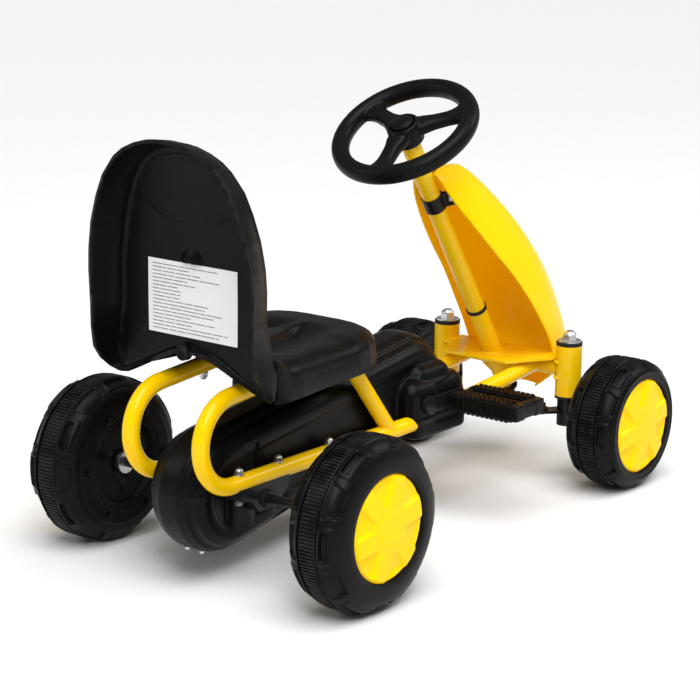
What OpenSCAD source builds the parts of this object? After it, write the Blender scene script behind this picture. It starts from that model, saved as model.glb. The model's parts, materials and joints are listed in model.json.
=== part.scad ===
// Pedal go kart for a toddler: steel tube frame, enclosed chain drive, moulded seat,
// hooded steering column and four moulded wheels. It faces -Y and stands on z = 0.
// The origin is on the floor, in the middle of the kart's bounding box.

/* [Wheels] */
// Diameter of a rear wheel
rear_wheel_d = 220; // [216:1:224]
// Diameter of a front wheel
front_wheel_d = 188; // [184:1:190]
// Width of a rear wheel over its cap
rear_wheel_w = 88; // [86:1:90]
// Width of a front wheel over its cap
front_wheel_w = 85; // [83:1:86]
// Diameter of the hub caps
cap_d = 134; // [126:1:134]

/* [Layout] */
// Distance from the rear axle to the front axle
wheelbase = 641; // [638:1:646]
// Width over the caps of the rear wheels
rear_span = 522; // [520:1:530]
// Width over the caps of the front wheels
front_span = 458; // [456:1:466]

/* [Frame] */
// Outer diameter of the side rail tube
rail_d = 22; // [20:0.5:22]
// Wall of the frame tubes
tube_wall = 1.5; // [1:0.5:2]
// Distance from the middle plane to each side rail
rail_x = 57.5; // [57:0.5:58]
// Radius of the bend behind the seat
loop_r = 57; // [55:1:58]
// Height of the lower rail's centre line
rail_z = 137.5; // [136:0.5:138]

/* [Steering] */
// Distance from the middle plane to each kingpin
kingpin_x = 108; // [107:1:110]
// Lean of the steering column from the vertical, in degrees
column_tilt = 33; // [32:0.5:34]
// Outer diameter of the steering wheel
steering_wheel_d = 210; // [200:2:216]
// Thickness of the steering wheel's rim
rim_d = 26; // [22:1:28]

/* [Drive] */
// Teeth on the chainwheel
chainwheel_teeth = 18; // [16:1:18]
// Teeth on the rear sprocket
sprocket_teeth = 12; // [11:1:14]
// Length of a crank arm between its two centres
crank_r = 65; // [60:1:66]
// Length of a pedal across the kart
pedal_len = 115; // [105:1:118]

/* [Seat] */
// Height of the seat's top edge above the floor
seat_top_z = 565; // [555:1:570]
// Thickness of the seat shell
seat_wall = 4; // [3:0.5:5]

/* [Hidden] */

$fn = 64;
gap = 0.3;                       // air between parts that move past each other
fit = 0.05;                      // radial clearance of a running fit
loop_reach = 57 + loop_r + rail_d / 2;
rear_axle_y = (wheelbase + front_wheel_d / 2 - loop_reach) / 2;
front_axle_y = rear_axle_y - wheelbase;
rear_axle_z = rear_wheel_d / 2;
front_axle_z = front_wheel_d / 2;
kingpin_y = rear_axle_y - 623;
kingpin_low_z = 124;
kingpin_high_z = 198;
kingpin_tube_d = 38;
kingpin_bolt_d = 12;
axle_d = 12;
plate_z = 176;
plate_t = 3;
column_foot = [0, rear_axle_y - 590, plate_z];
column_d = 28;
shaft_d = 27;
head_top = 86;                   // along the column, from the plate
head_bottom = -55;
wheel_s = 398;                   // where the steering wheel's hub starts
crank_y = rear_axle_y - 330;
crank_z = 163;
arm_x = 74;                      // inner face of a crank arm
arm_t = 5;
spindle_d = 10;
pedal_x = arm_x + arm_t + 2;
pitch = 12.7;                    // chain pitch
chain_x = 8;
chain_w = 7;
tie_pin = [83, rear_axle_y - 594, 104];
tie_from_foot = [tie_pin[1] - column_foot[1], tie_pin[2] - plate_z];
pitman_s = tie_from_foot[0] * sin(column_tilt) + tie_from_foot[1] * cos(column_tilt);
pitman_r = tie_from_foot[0] * cos(column_tilt) - tie_from_foot[1] * sin(column_tilt);
seam_tilt = 2.1;                 // slope of the casing's parting line, in degrees
seam_y = rear_axle_y + 112;
seam_z = 129;
steel = [0.75, 0.76, 0.78];
black = [0.07, 0.07, 0.08];
yellow = [1.0, 0.82, 0.0];

function pitch_r(teeth) = pitch / (2 * sin(180 / teeth));

function arc(c, r, a0, a1, n = 10) =
    [for (i = [0:n]) let (a = a0 + (a1 - a0) * i / n) c + r * [cos(a), sin(a)]];

// Outline of a belt pulled tight round two circles, as one closed run of points.
module belt(c0, r0, c1, r1) {
    run = c1 - c0;
    heading = atan2(run[1], run[0]);
    lean = acos((r0 - r1) / norm(run));
    polygon(concat(arc(c0, r0, heading + lean, heading + 360 - lean, 28),
        arc(c1, r1, heading - lean, heading + lean, 28)));
}

// A profile drawn in (y, z), extruded across the kart and centred on x = 0.
module across(w) {
    translate([-w / 2, 0, 0]) rotate([90, 0, 90]) linear_extrude(w) children();
}

module along_x(x0, x1, d) {
    translate([x0, 0, 0]) rotate([0, 90, 0]) cylinder(d = d, h = x1 - x0);
}

module at_rear_axle() {
    translate([0, rear_axle_y, rear_axle_z]) children();
}

// Children are drawn with the column's axis as z and its foot as the origin.
module on_column() {
    translate(column_foot) rotate([-column_tilt, 0, 0]) children();
}

// Children are drawn for the left side (+X) and mirrored for the right one.
module on_side(side) {
    if (side > 0) children();
    else mirror([1, 0, 0]) children();
}

module both_sides() {
    for (side = [1, -1]) on_side(side) children();
}

module ring(d_out, d_in, h) {
    difference() {
        cylinder(d = d_out, h = h);
        translate([0, 0, -1]) cylinder(d = d_in, h = h + 2);
    }
}

module dome_nut(af, h) {
    cylinder(d = af / cos(30), h = h * 0.5, $fn = 6);
    translate([0, 0, h * 0.5]) intersection() {
        translate([0, 0, -af * 0.2]) sphere(d = af * 1.15);
        cylinder(d = af, h = h);
    }
}

/* ---- side rails ---- */
// A rail lies in a plane x = const and is drawn in (y, z) from the rear axle: the lower
// rail, the bend behind the seat, the upper rail, and the strut back to the lower rail.
upper_slope = 4.7;               // degrees that the upper rail climbs towards the front
strut_slope = 50.6;
kink_r = 40;
lap = 1.5;                       // how far a straight runs into a bend
loop_c = [57, rail_z + loop_r];
upper_start = loop_c + loop_r * [sin(upper_slope), cos(upper_slope)];
strut_foot = [-264, rail_z];
upper_dir = [-cos(upper_slope), sin(upper_slope)];
strut_dir = [cos(strut_slope), sin(strut_slope)];
rail_rise_start = -318;          // where the lower rail starts to climb
rail_front = [-612, 164];

function cross2(a, b) = a[0] * b[1] - a[1] * b[0];
function meet(p, d, q, e) = p + d * cross2(q - p, e) / cross2(d, e);
kink = meet(upper_start, upper_dir, strut_foot, strut_dir);
kink_len = kink_r * tan((upper_slope + strut_slope) / 2);
upper_end = kink - upper_dir * kink_len;

module straight(p, q, d) {
    run = q - p;
    translate([0, p[0], p[1]]) rotate([atan2(run[1], run[0]), 0, 0]) rotate([-90, 0, 0])
        cylinder(d = d, h = norm(run));
}

// A bend in the (y, z) plane about c, from angle a0 over sweep degrees.
module bend(c, r, a0, sweep, d) {
    translate([0, c[0], c[1]]) rotate([90, 0, 90]) rotate([0, 0, a0])
        rotate_extrude(angle = sweep) translate([r, 0]) circle(d = d);
}

module lower_rail(d) {
    straight([57 + lap, rail_z], [rail_rise_start, rail_z], d);
    straight([rail_rise_start + 4 * lap, rail_z], rail_front, d - 0.5);
}

module upper_rail(d) {
    straight(upper_start - upper_dir * lap, upper_end + upper_dir * lap, d);
}

// The bends are a trace thicker than the straights, which run a little way into them.
module rail_path(d) {
    kink_c = upper_end - kink_r * [sin(upper_slope), cos(upper_slope)];
    bend_d = d + 0.3;
    lower_rail(d);
    bend(loop_c, loop_r, -90, 180 - upper_slope, bend_d);
    upper_rail(d);
    bend(kink_c, kink_r, 90 - upper_slope, upper_slope + strut_slope, bend_d);
    straight(strut_foot + strut_dir * 2 * lap, kink - strut_dir * (kink_len - lap), d - 0.6);
}

rail_bolt_y = [44, -31, -133];
seat_bolt_y = [-20, -108];

module rail(side) {
    color(yellow) on_side(side) difference() {
        translate([rail_x, rear_axle_y, 0]) difference() {
            rail_path(rail_d);
            rail_path(rail_d - 2 * tube_wall);
        }
        for (y = rail_bolt_y) translate([rail_x, rear_axle_y + y, rail_z - rail_d])
            cylinder(d = 6.2, h = rail_d * 2);
        for (y = seat_bolt_y) translate([rail_x, rear_axle_y + y, 230])
            cylinder(d = 6.2, h = 60);
        translate([rail_x, kingpin_y, 0]) crossmember_bar(0.1);
    }
}

module side_rail_left() { rail(1); }
module side_rail_right() { rail(-1); }

/* ---- front of the frame ---- */
crossmember_z = 163;

module crossmember_bar(extra = 0) {
    translate([0, 0, crossmember_z]) rotate([0, 90, 0])
        cylinder(d = 26 + 2 * extra, h = 2 * kingpin_x, center = true);
}

module front_crossmember() {
    color(yellow) difference() {
        translate([0, kingpin_y, 0]) crossmember_bar();
        translate([0, kingpin_y, crossmember_z]) rotate([0, 90, 0])
            cylinder(d = 26 - 2 * tube_wall, h = 3 * kingpin_x, center = true);
        both_sides() translate([kingpin_x, kingpin_y, 0])
            cylinder(d = kingpin_tube_d + 0.05, h = 300);
        on_column() translate([0, 0, head_bottom - 20]) cylinder(d = column_d + 0.1, h = 200);
    }
}

module gusset_plate() {
    half_front = kingpin_x - kingpin_tube_d / 2 + 3;
    color(yellow) difference() {
        translate([0, rear_axle_y, plate_z + 0.1]) linear_extrude(plate_t) difference() {
            polygon([[-half_front, -640], [half_front, -640], [half_front, -606],
                [rail_x - 4, -541], [-rail_x + 4, -541], [-half_front, -606]]);
            for (x = [-34, 34]) translate([x, -572]) circle(d = 5);
        }
        both_sides() translate([kingpin_x, kingpin_y, 0])
            cylinder(d = kingpin_tube_d + 0.05, h = 300);
        on_column() translate([0, 0, -30]) cylinder(d = column_d + 0.1, h = 60);
        both_sides() translate([rail_x, rear_axle_y, 0]) lower_rail(rail_d + 0.2);
    }
}

module kingpin_tube(side) {
    color(yellow) on_side(side) translate([kingpin_x, kingpin_y, kingpin_low_z])
        ring(kingpin_tube_d, kingpin_tube_d - 8, kingpin_high_z - kingpin_low_z);
}

module kingpin_tube_left() { kingpin_tube(1); }
module kingpin_tube_right() { kingpin_tube(-1); }

module steering_head_tube() {
    color(yellow) on_column() translate([0, 0, head_bottom])
        ring(column_d, column_d - 2 * tube_wall, head_top - head_bottom);
}

module steering_bushes() {
    shaft_rod_d = 16;
    inner = shaft_rod_d + 2 * fit;
    color(black) on_column() {
        translate([0, 0, head_top]) ring(column_d + 2, inner, 5);
        translate([0, 0, head_top - 12]) ring(column_d - 2 * tube_wall, inner, 12);
        translate([0, 0, head_bottom]) ring(column_d - 2 * tube_wall, inner, 12);
        translate([0, 0, head_bottom - 3]) ring(column_d + 1, inner, 3);
    }
}

module kingpin_bushes() {
    inner = kingpin_bolt_d + 2 * fit;
    color(black) both_sides() translate([kingpin_x, kingpin_y, 0]) {
        translate([0, 0, kingpin_high_z]) ring(kingpin_tube_d, inner, 5);
        translate([0, 0, kingpin_high_z - 14]) ring(kingpin_tube_d - 8.1, inner, 14);
        translate([0, 0, kingpin_low_z]) ring(kingpin_tube_d - 8.1, inner, 14);
        translate([0, 0, kingpin_low_z - 4]) ring(kingpin_tube_d, inner, 4);
    }
}

/* ---- rear axle blocks ---- */
module axle_block(side) {
    color(black) on_side(side) difference() {
        translate([rail_x, rear_axle_y, 0]) difference() {
            across(19) polygon([[-42, rail_z - 4], [-42, 118], [-16, 96], [16, 96],
                [30, 112], [54, 118], [54, rail_z - 4]]);
            lower_rail(rail_d + 0.1);
        }
        at_rear_axle() along_x(0, 200, 18);
        for (y = [44, -31]) translate([rail_x, rear_axle_y + y, 90])
            cylinder(d = 6.2, h = 60);
    }
}

module axle_block_left() { axle_block(1); }
module axle_block_right() { axle_block(-1); }

module axle_bushes() {
    color([0.85, 0.85, 0.82]) both_sides() at_rear_axle() difference() {
        union() {
            along_x(rail_x - 9.5, rail_x + 9.5, 18);
            along_x(rail_x + 9.6, rail_x + 12, 24);
        }
        along_x(0, 200, axle_d + 2 * fit);
    }
}

module rail_bolts() {
    color(steel) both_sides() for (y = rail_bolt_y)
        translate([rail_x, rear_axle_y + y, 0]) {
            bottom = y < -100 ? rail_z - 14.6 : (y > 0 ? 113.8 : 103.6);
            translate([0, 0, bottom - 4]) {
                cylinder(d = 6, h = rail_z + 14 - bottom + 4);
                cylinder(d = 11.5, h = 3.9, $fn = 6);
            }
            translate([0, 0, rail_z + rail_d / 2]) ring(13, 6, 1.2);
            translate([0, 0, rail_z + rail_d / 2 + 1.2]) difference() {
                dome_nut(10, 9);
                translate([0, 0, -1]) cylinder(d = 6, h = 2.9);
            }
        }
}

/* ---- casing ---- */
// The chain runs inside a band that belts the rear sprocket and the chainwheel; steps
// at its sides lower it, and a wide bulge at the front holds the crank.
casing_rear = [32, 119];
casing_front = [-345, 181];
bulge_half_w = 72;
shell = 2.5;

module casing_band(w, step, inset) {
    translate([0, rear_axle_y, 0]) across(w - 2 * inset)
        belt(casing_rear, 80 - step - inset, casing_front, 70 - step - inset);
}

module bulge(inset) {
    w = bulge_half_w - inset;
    front = -427 + inset;
    top = 216 - inset;
    round_r = 25 - inset;
    intersection() {
        translate([0, rear_axle_y, 112 + inset]) linear_extrude(top - 112 - inset)
            polygon(concat([[w, -299 - inset], [-w, -299 - inset]],
                arc([-w + round_r, front + round_r], round_r, 180, 270),
                arc([w - round_r, front + round_r], round_r, 270, 360)));
        translate([0, rear_axle_y - 299, 0]) rotate([90, 0, 0]) linear_extrude(140)
            polygon(concat([[-w, 112 + inset], [w, 112 + inset]],
                arc([w - round_r - 3, top - round_r], round_r, 0, 90),
                arc([-w + round_r + 3, top - round_r], round_r, 90, 180)));
    }
}

module casing_outer(inset) {
    casing_band(48, 0, inset);
    casing_band(92, 9, inset);
    bulge(inset);
}

module casing_shell() {
    difference() {
        casing_outer(0);
        casing_outer(shell);
        both_sides() translate([rail_x, rear_axle_y, 0]) lower_rail(rail_d + 1);
        at_rear_axle() along_x(-100, 100, 26);
        translate([0, crank_y, crank_z]) along_x(-100, 100, 24);
    }
}

// The half-space above the parting line, as a slab.
module above_seam(lift = 0) {
    translate([-150, seam_y, seam_z + lift]) rotate([-seam_tilt, 0, 0])
        translate([0, -700, 0]) cube([300, 760, 300]);
}

module casing_upper() {
    color(black) intersection() {
        casing_shell();
        above_seam();
    }
}

module casing_lower() {
    color(black) difference() {
        union() {
            casing_shell();
            both_sides() translate([44, rear_axle_y - 145, rail_z - 14.5])
                cube([22, 24, 3]);
        }
        above_seam(-0.1);
        translate([0, rear_axle_y, 0]) both_sides() {
            translate([rail_x, -133, 100]) cylinder(d = 6.2, h = 40);
            for (p = casing_screw_spots) translate([12, p[0], p[1]]) cylinder(d = 3.6, h = 9);
        }
    }
}

// Heads under the casing, as (y, z of the head's top).
casing_screw_spots = [[62, 42.8], [-120, 65.8], [-250, 90.7]];

module casing_screws() {
    color(steel) both_sides() for (p = casing_screw_spots)
        translate([12, rear_axle_y + p[0], p[1]]) {
            translate([0, 0, -2]) cylinder(d = 7, h = 2);
            cylinder(d = 3.5, h = 8);
        }
}

module crank_bushes() {
    color(black) both_sides() translate([0, crank_y, crank_z]) difference() {
        union() {
            along_x(62, 73, 23.9);
            along_x(60, 62, 26);
        }
        along_x(0, 100, 16 + 2 * fit);
    }
}

/* ---- drive ---- */
// Each tooth is a short trapezium on the rim, so the whole outline is one polygon.
module sprocket(teeth, bore) {
    r = pitch_r(teeth) - 3.4;
    step = 360 / teeth;
    shape = [[-0.3, r - 4], [-0.1, r], [0.1, r], [0.3, r - 4]];
    rotate([0, 90, 0]) difference() {
        union() {
            linear_extrude(3) polygon([for (i = [0:teeth - 1], p = shape)
                p[1] * [cos((i + p[0]) * step), sin((i + p[0]) * step)]]);
            translate([0, 0, -4]) cylinder(d = bore + 8, h = 11);
        }
        translate([0, 0, -5]) cylinder(d = bore, h = 20);
    }
}

module chain() {
    rear = [0, rear_axle_z];
    front = [crank_y - rear_axle_y, crank_z];
    rear_r = pitch_r(sprocket_teeth);
    front_r = pitch_r(chainwheel_teeth);
    color([0.3, 0.29, 0.28]) translate([chain_x + chain_w / 2, rear_axle_y, 0])
        difference() {
            across(chain_w) belt(rear, rear_r + 4, front, front_r + 4);
            across(chain_w + 2) belt(rear, rear_r - 3, front, front_r - 3);
        }
}

module rear_axle() {
    half = rear_span / 2 - 8;
    color(black) at_rear_axle() {
        along_x(-half, half, axle_d);
        along_x(rail_x + 12.3, rail_x + 15.3, 22);
        along_x(-rail_x - 15.3, -rail_x - 12.3, 22);
    }
}

module rear_sprocket() {
    color(steel) at_rear_axle() translate([chain_x + 2, 0, 0])
        sprocket(sprocket_teeth, axle_d);
}

module chainwheel() {
    color(steel) translate([chain_x + 2, crank_y, crank_z]) sprocket(chainwheel_teeth, 16);
}

// The right arm points forwards and the left one backwards.
module crank_arm(side) {
    reach = side > 0 ? crank_r : -crank_r;
    on_side(side) translate([arm_x, crank_y, crank_z]) {
        rotate([90, 0, 90]) linear_extrude(arm_t) {
            circle(d = 26);
            translate([reach, 0]) circle(d = 22);
            translate([min(reach, 0), -11]) square([crank_r, 22]);
        }
        translate([0, reach, 0]) along_x(arm_t, pedal_len + 1, spindle_d);
    }
}

module crankshaft() {
    color(black) {
        translate([0, crank_y, crank_z]) along_x(-arm_x, arm_x, 16);
        crank_arm(1);
        crank_arm(-1);
    }
}

pedal_w = 70;
pedal_h = 27;

module pedal(side) {
    end_r = 12;
    reach = side > 0 ? crank_r : -crank_r;
    color(black) on_side(side) translate([pedal_x, crank_y + reach, crank_z])
        difference() {
            translate([0, 0, -pedal_h / 2]) linear_extrude(pedal_h) polygon(concat(
                [[0, -pedal_w / 2], [0, pedal_w / 2]],
                arc([pedal_len - end_r, pedal_w / 2 - end_r], end_r, 90, 0),
                arc([pedal_len - end_r, -pedal_w / 2 + end_r], end_r, 0, -90)));
            for (s = [-1, 1]) translate([12, s > 0 ? 9 : -17, -20])
                cube([pedal_len - 30, 8, 40]);
            along_x(-1, pedal_len + 1, spindle_d + 2 * fit);
            along_x(pedal_len - 9, pedal_len + 1, 18);
        }
}

module pedal_left() { pedal(1); }
module pedal_right() { pedal(-1); }

module pedal_nuts() {
    color(steel) for (side = [1, -1])
        on_side(side) translate([pedal_x + pedal_len - 8.5, crank_y
            + (side > 0 ? crank_r : -crank_r), crank_z]) rotate([0, 90, 0])
                ring(16, spindle_d, 5);
}

/* ---- wheels ---- */
// A wheel is drawn with its inner face on x = 0 and its cap at x = w.
module spun() {
    rotate([0, 90, 0]) rotate_extrude($fn = 96) children();
}

module tyre(d, w) {
    r = d / 2;
    round_r = 27;
    in_r = round_r - 4;
    web = w - 22;
    seat_r = cap_d / 2 + 1;
    spun() polygon(concat([[12.1, web], [12.1, web - 4], [r - round_r - 2, web - 4]],
        [[r - 4 - 1, w - round_r - 4]], [[r - 4, w - round_r - 6], [r - 4, round_r + 4]],
        arc([r - 4 - in_r, round_r + 2], in_r, 0, -88, 6),
        [[62, 6], [62, 3], [r - round_r, 3]],
        [[r - round_r, 2]], arc([r - round_r, round_r + 2], round_r, -88, 0, 8),
        arc([r - round_r, w - round_r - 3], round_r, 0, 90, 8),
        [[seat_r, w - 3], [seat_r, w - 6], [seat_r - 4, w - 6], [seat_r - 4, web]]));
}

module disc(w, bore) {
    hub_r = 12;
    spun() polygon([[bore / 2, 6], [hub_r, 6], [hub_r, 9], [50, 9], [54, 3.1],
        [61.9, 3.1], [61.9, 6.1], [56, 6.1], [52, 12], [hub_r, 12],
        [hub_r, w - 20], [bore / 2, w - 20]]);
}

module cap(w) {
    seat_r = cap_d / 2 + 1;
    spun() polygon([[0, w - 2.5], [seat_r - 18, w - 2.5], [seat_r - 8, w - 5.9],
        [seat_r - 1, w - 5.9], [seat_r - 1, w - 2], [seat_r - 10, w], [0, w]]);
}

module place_front(side) {
    on_side(side) translate([front_span / 2 - front_wheel_w, front_axle_y, front_axle_z])
        children();
}

module place_rear(side) {
    on_side(side) translate([rear_span / 2 - rear_wheel_w, rear_axle_y, rear_axle_z])
        children();
}

module front_tyre_left() { color(black) place_front(1) tyre(front_wheel_d, front_wheel_w); }
module front_tyre_right() { color(black) place_front(-1) tyre(front_wheel_d, front_wheel_w); }
module rear_tyre_left() { color(black) place_rear(1) tyre(rear_wheel_d, rear_wheel_w); }
module rear_tyre_right() { color(black) place_rear(-1) tyre(rear_wheel_d, rear_wheel_w); }

module front_disc(side) {
    color(black) place_front(side) disc(front_wheel_w, axle_d + 2 * fit);
}

module front_disc_left() { front_disc(1); }
module front_disc_right() { front_disc(-1); }

module rear_disc_left() {
    color(black) place_rear(1) disc(rear_wheel_w, axle_d + 2 * fit);
}

// The right rear wheel is the driven one, so its hub is tight on the axle.
module rear_disc_right() {
    color(black) place_rear(-1) disc(rear_wheel_w, axle_d);
}

module front_cap_left() { color(yellow) place_front(1) cap(front_wheel_w); }
module front_cap_right() { color(yellow) place_front(-1) cap(front_wheel_w); }
module rear_cap_left() { color(yellow) place_rear(1) cap(rear_wheel_w); }
module rear_cap_right() { color(yellow) place_rear(-1) cap(rear_wheel_w); }

module axle_nut() {
    rotate([0, 90, 0]) {
        ring(26, axle_d, 2);
        translate([0, 0, 2]) difference() {
            cylinder(d = 21, h = 7, $fn = 6);
            translate([0, 0, -1]) cylinder(d = axle_d, h = 9);
        }
    }
}

module rear_axle_nuts() {
    color(steel) for (side = [1, -1]) place_rear(side) {
        translate([rear_wheel_w - 19.7, 0, 0]) axle_nut();
        translate([1.5, 0, 0]) rotate([0, 90, 0]) ring(30, axle_d, 4);
    }
}

/* ---- steering linkage ---- */
module knuckle(side) {
    stub_end = front_span / 2 - 8;
    color(black) on_side(side) {
        translate([kingpin_x, kingpin_y, 0]) {
            translate([0, 0, front_axle_z - 14])
                cylinder(d = 30, h = kingpin_low_z - 4 - gap - front_axle_z + 14);
            translate([0, 0, front_axle_z]) cylinder(d = kingpin_bolt_d, h = 122);
            translate([-9, front_axle_y - kingpin_y - 12, front_axle_z - 14])
                cube([18, kingpin_y - front_axle_y + 12, 26]);
        }
        translate([kingpin_x, front_axle_y, front_axle_z])
            along_x(0, stub_end - kingpin_x, axle_d);
        translate([0, 0, tie_pin[2] - 5]) linear_extrude(4) polygon(concat(
            [[kingpin_x + 13, kingpin_y + 4], [kingpin_x - 10, kingpin_y - 11]],
            arc([tie_pin[0], tie_pin[1]], 11, 215, 55)));
        translate([tie_pin[0], tie_pin[1], tie_pin[2] - 7]) {
            cylinder(d = 6, h = 14);
            cylinder(d = 11, h = 2.1);
            translate([0, 0, 13]) cylinder(d = 12, h = 3);
        }
    }
}

module knuckle_left() { knuckle(1); }
module knuckle_right() { knuckle(-1); }

module kingpin_nut(side) {
    color(steel) on_side(side) translate([kingpin_x, kingpin_y, kingpin_high_z + 5]) {
        translate([0, 0, gap]) ring(34, kingpin_bolt_d, 2);
        translate([0, 0, 2 + gap]) difference() {
            dome_nut(19, 15);
            translate([0, 0, -1]) cylinder(d = kingpin_bolt_d, h = 11.71);
        }
    }
}

module kingpin_nut_left() { kingpin_nut(1); }
module kingpin_nut_right() { kingpin_nut(-1); }

module stub_nut(side) {
    color(steel) place_front(side) {
        translate([front_wheel_w - 19.7, 0, 0]) axle_nut();
        translate([1.7, 0, 0]) rotate([0, 90, 0]) ring(24, axle_d, 4);
    }
}

module stub_nut_left() { stub_nut(1); }
module stub_nut_right() { stub_nut(-1); }

// A rod along x with a round eye on the shared bolt and a slotted eye at the knuckle.
module tie_rod(side) {
    eye_t = 2.4;
    level = side > 0 ? gap : -gap - eye_t;
    rod_z = 4;
    color(black) on_side(side) translate([0, tie_pin[1], tie_pin[2]]) {
        difference() {
            union() {
                translate([10, 0, rod_z * 0.5]) rotate([0, 90, 0]) cylinder(d = 8, h = 58);
                rotate([-column_tilt, 0, 0]) translate([0, 0, level])
                    cylinder(d = 18, h = eye_t);
                rotate([-column_tilt, 0, 0]) translate([0, -5, level])
                    cube([16, 10, eye_t]);
                translate([tie_pin[0], 0, 0.5]) cylinder(d = 19, h = eye_t);
                translate([64, -6, 0.5]) cube([tie_pin[0] - 64, 12, eye_t]);
            }
            rotate([-column_tilt, 0, 0]) cylinder(d = 8 + 2 * gap, h = 30, center = true);
            translate([tie_pin[0], 0, -5]) cylinder(d = 8, h = 12);
            translate([tie_pin[0] + 3, 0, -5]) cylinder(d = 8, h = 12);
            translate([tie_pin[0], -4, -5]) cube([3, 8, 12]);
        }
    }
}

module tie_rod_left() { tie_rod(1); }
module tie_rod_right() { tie_rod(-1); }

module tie_rod_bolt() {
    color(steel) on_column() translate([0, pitman_r, pitman_s]) {
        translate([0, 0, -12]) cylinder(d = 8, h = 22);
        translate([0, 0, -12]) cylinder(d = 13, h = 4, $fn = 6);
        translate([0, 0, 6]) cylinder(d = 14, h = 4);
    }
}

module pitman_arm() {
    color(black) on_column() translate([0, 0, pitman_s - 7.6]) difference() {
        linear_extrude(4) {
            circle(d = 30);
            translate([0, pitman_r]) circle(d = 18);
            translate([-9, 0]) square([18, pitman_r]);
        }
        translate([0, 0, -1]) cylinder(d = 16, h = 8);
        translate([0, pitman_r, -1]) cylinder(d = 8, h = 8);
    }
}

module steering_shaft() {
    rod = 16;
    tube_bottom = head_top + 5 + gap;
    color(yellow) on_column() {
        translate([0, 0, pitman_s - 7.6]) cylinder(d = rod, h = wheel_s - pitman_s + 7.6 + 30);
        translate([0, 0, tube_bottom]) ring(shaft_d, rod, wheel_s - tube_bottom);
    }
}

/* ---- steering wheel ---- */
hub_d = 50;
hub_h = 40;
rim_s = wheel_s + 18;            // plane of the rim's centre line

module steering_wheel() {
    ring_r = (steering_wheel_d - rim_d) / 2;
    color(black) on_column() difference() {
        union() {
            translate([0, 0, wheel_s]) cylinder(d = hub_d, h = hub_h);
            translate([0, 0, rim_s]) rotate_extrude($fn = 96) translate([ring_r, 0])
                circle(d = rim_d);
            for (i = [0:2]) rotate([0, 0, 96 + 120 * i]) translate([0, 0, rim_s - 7])
                linear_extrude(14) polygon([[15, -14], [ring_r - 2, -11],
                    [ring_r - 2, 11], [15, 14]]);
        }
        translate([0, 0, wheel_s - 1]) cylinder(d = 16.1, h = 32);
        translate([0, 0, wheel_s + hub_h - 6]) cylinder(d = 34, h = 10);
        translate([0, 0, wheel_s + 31]) cylinder(d = 18, h = 10);
        translate([0, 0, wheel_s + 5.4]) rotate([90, 0, 0]) cylinder(d = 5.1, h = 60,
            center = true);
    }
}

module steering_wheel_button() {
    color(black) on_column() translate([0, 0, wheel_s + hub_h - 6]) {
        cylinder(d = 31, h = 6);
        translate([0, 0, 6]) intersection() {
            translate([0, 0, -38]) sphere(r = 41);
            cylinder(d = 31, h = 10);
        }
    }
}

module steering_wheel_bolt() {
    color(steel) on_column() translate([0, 0, wheel_s + 5.4]) rotate([90, 0, 0]) {
        difference() {
            translate([0, 0, -hub_d / 2 - 3]) cylinder(d = 5, h = hub_d + 6);
            cylinder(d = 16, h = 16, center = true);
        }
        for (s = [-1, 1]) translate([0, 0, s * (hub_d / 2 + 1.9)])
            cylinder(d = 10, h = 3.8, center = true);
    }
}

/* ---- seat ---- */
// Half outline of the seat back in (x, z), from the top down.
back_half = [[0, 0], [25, -2], [47, -8], [66, -16], [81, -27], [101, -52], [114, -80],
    [125, -112], [133, -148], [135, -175], [133, -215], [130, -250], [131, -275],
    [135, -292], [134, -304], [126, -312], [112, -315]];
seat_low_z = 250;
back_front_y = 58;
pan_front_y = -212;

// Both halves of the outline, drawn smaller by inset.
module back_outline(inset) {
    shrink = 1 - inset / 133;
    half = [for (p = back_half) [p[0] * shrink, -inset + p[1] * (1 - inset / 160)]];
    polygon([for (p = concat(half, [for (i = [len(half) - 1:-1:1])
        [-half[i][0], half[i][1]]])) p + [0, seat_top_z]]);
}

// Front face of the back in (y, z), from the bottom up.
back_face = [[back_front_y, seat_low_z - 5], [back_front_y, 412], [64, 450],
    [98, seat_top_z + 5]];
back_rim = [[116, seat_top_z + 5], [112, 490], [105, 400], [105, 300], [98, 284],
    [80, 268], [64, 259], [64, seat_low_z - 5]];

module back_front_to_back(outline, side) {
    intersection() {
        translate([0, 140, 0]) rotate([90, 0, 0]) linear_extrude(100) back_outline(outline);
        across(300) polygon(side);
    }
}

module seat_back() {
    difference() {
        back_front_to_back(0, concat(back_face, back_rim));
        back_front_to_back(seat_wall, concat([for (p = back_face) p + [seat_wall, 0]],
            [[150, seat_top_z + 5], [150, seat_low_z - 5]]));
    }
}

module pan_outline(inset) {
    corner = 62 - inset;
    front = pan_front_y + inset;
    half = 121 - inset;
    rear = back_front_y + 2;
    polygon(concat([[134 - inset, rear], [-134 + inset, rear], [-133 + inset, 15],
        [-128 + inset, -25], [-half, -75]],
        arc([-half + corner, front + corner], corner, 180, 270, 8),
        arc([half - corner, front + corner], corner, 270, 360, 8),
        [[half, -75], [128 - inset, -25], [133 - inset, 15]]));
}

pan_top_z = 298;

module seat_pan() {
    low = seat_low_z + 1;
    difference() {
        translate([0, 0, low]) linear_extrude(pan_top_z - low) pan_outline(0);
        translate([0, 0, low - 5]) linear_extrude(pan_top_z - seat_wall - low + 5)
            pan_outline(seat_wall);
    }
}

// Height of the upper rail's centre line at y, measured from the rear axle.
function upper_rail_z(y) = upper_start[1] + (upper_start[0] - y) * tan(upper_slope);

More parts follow.
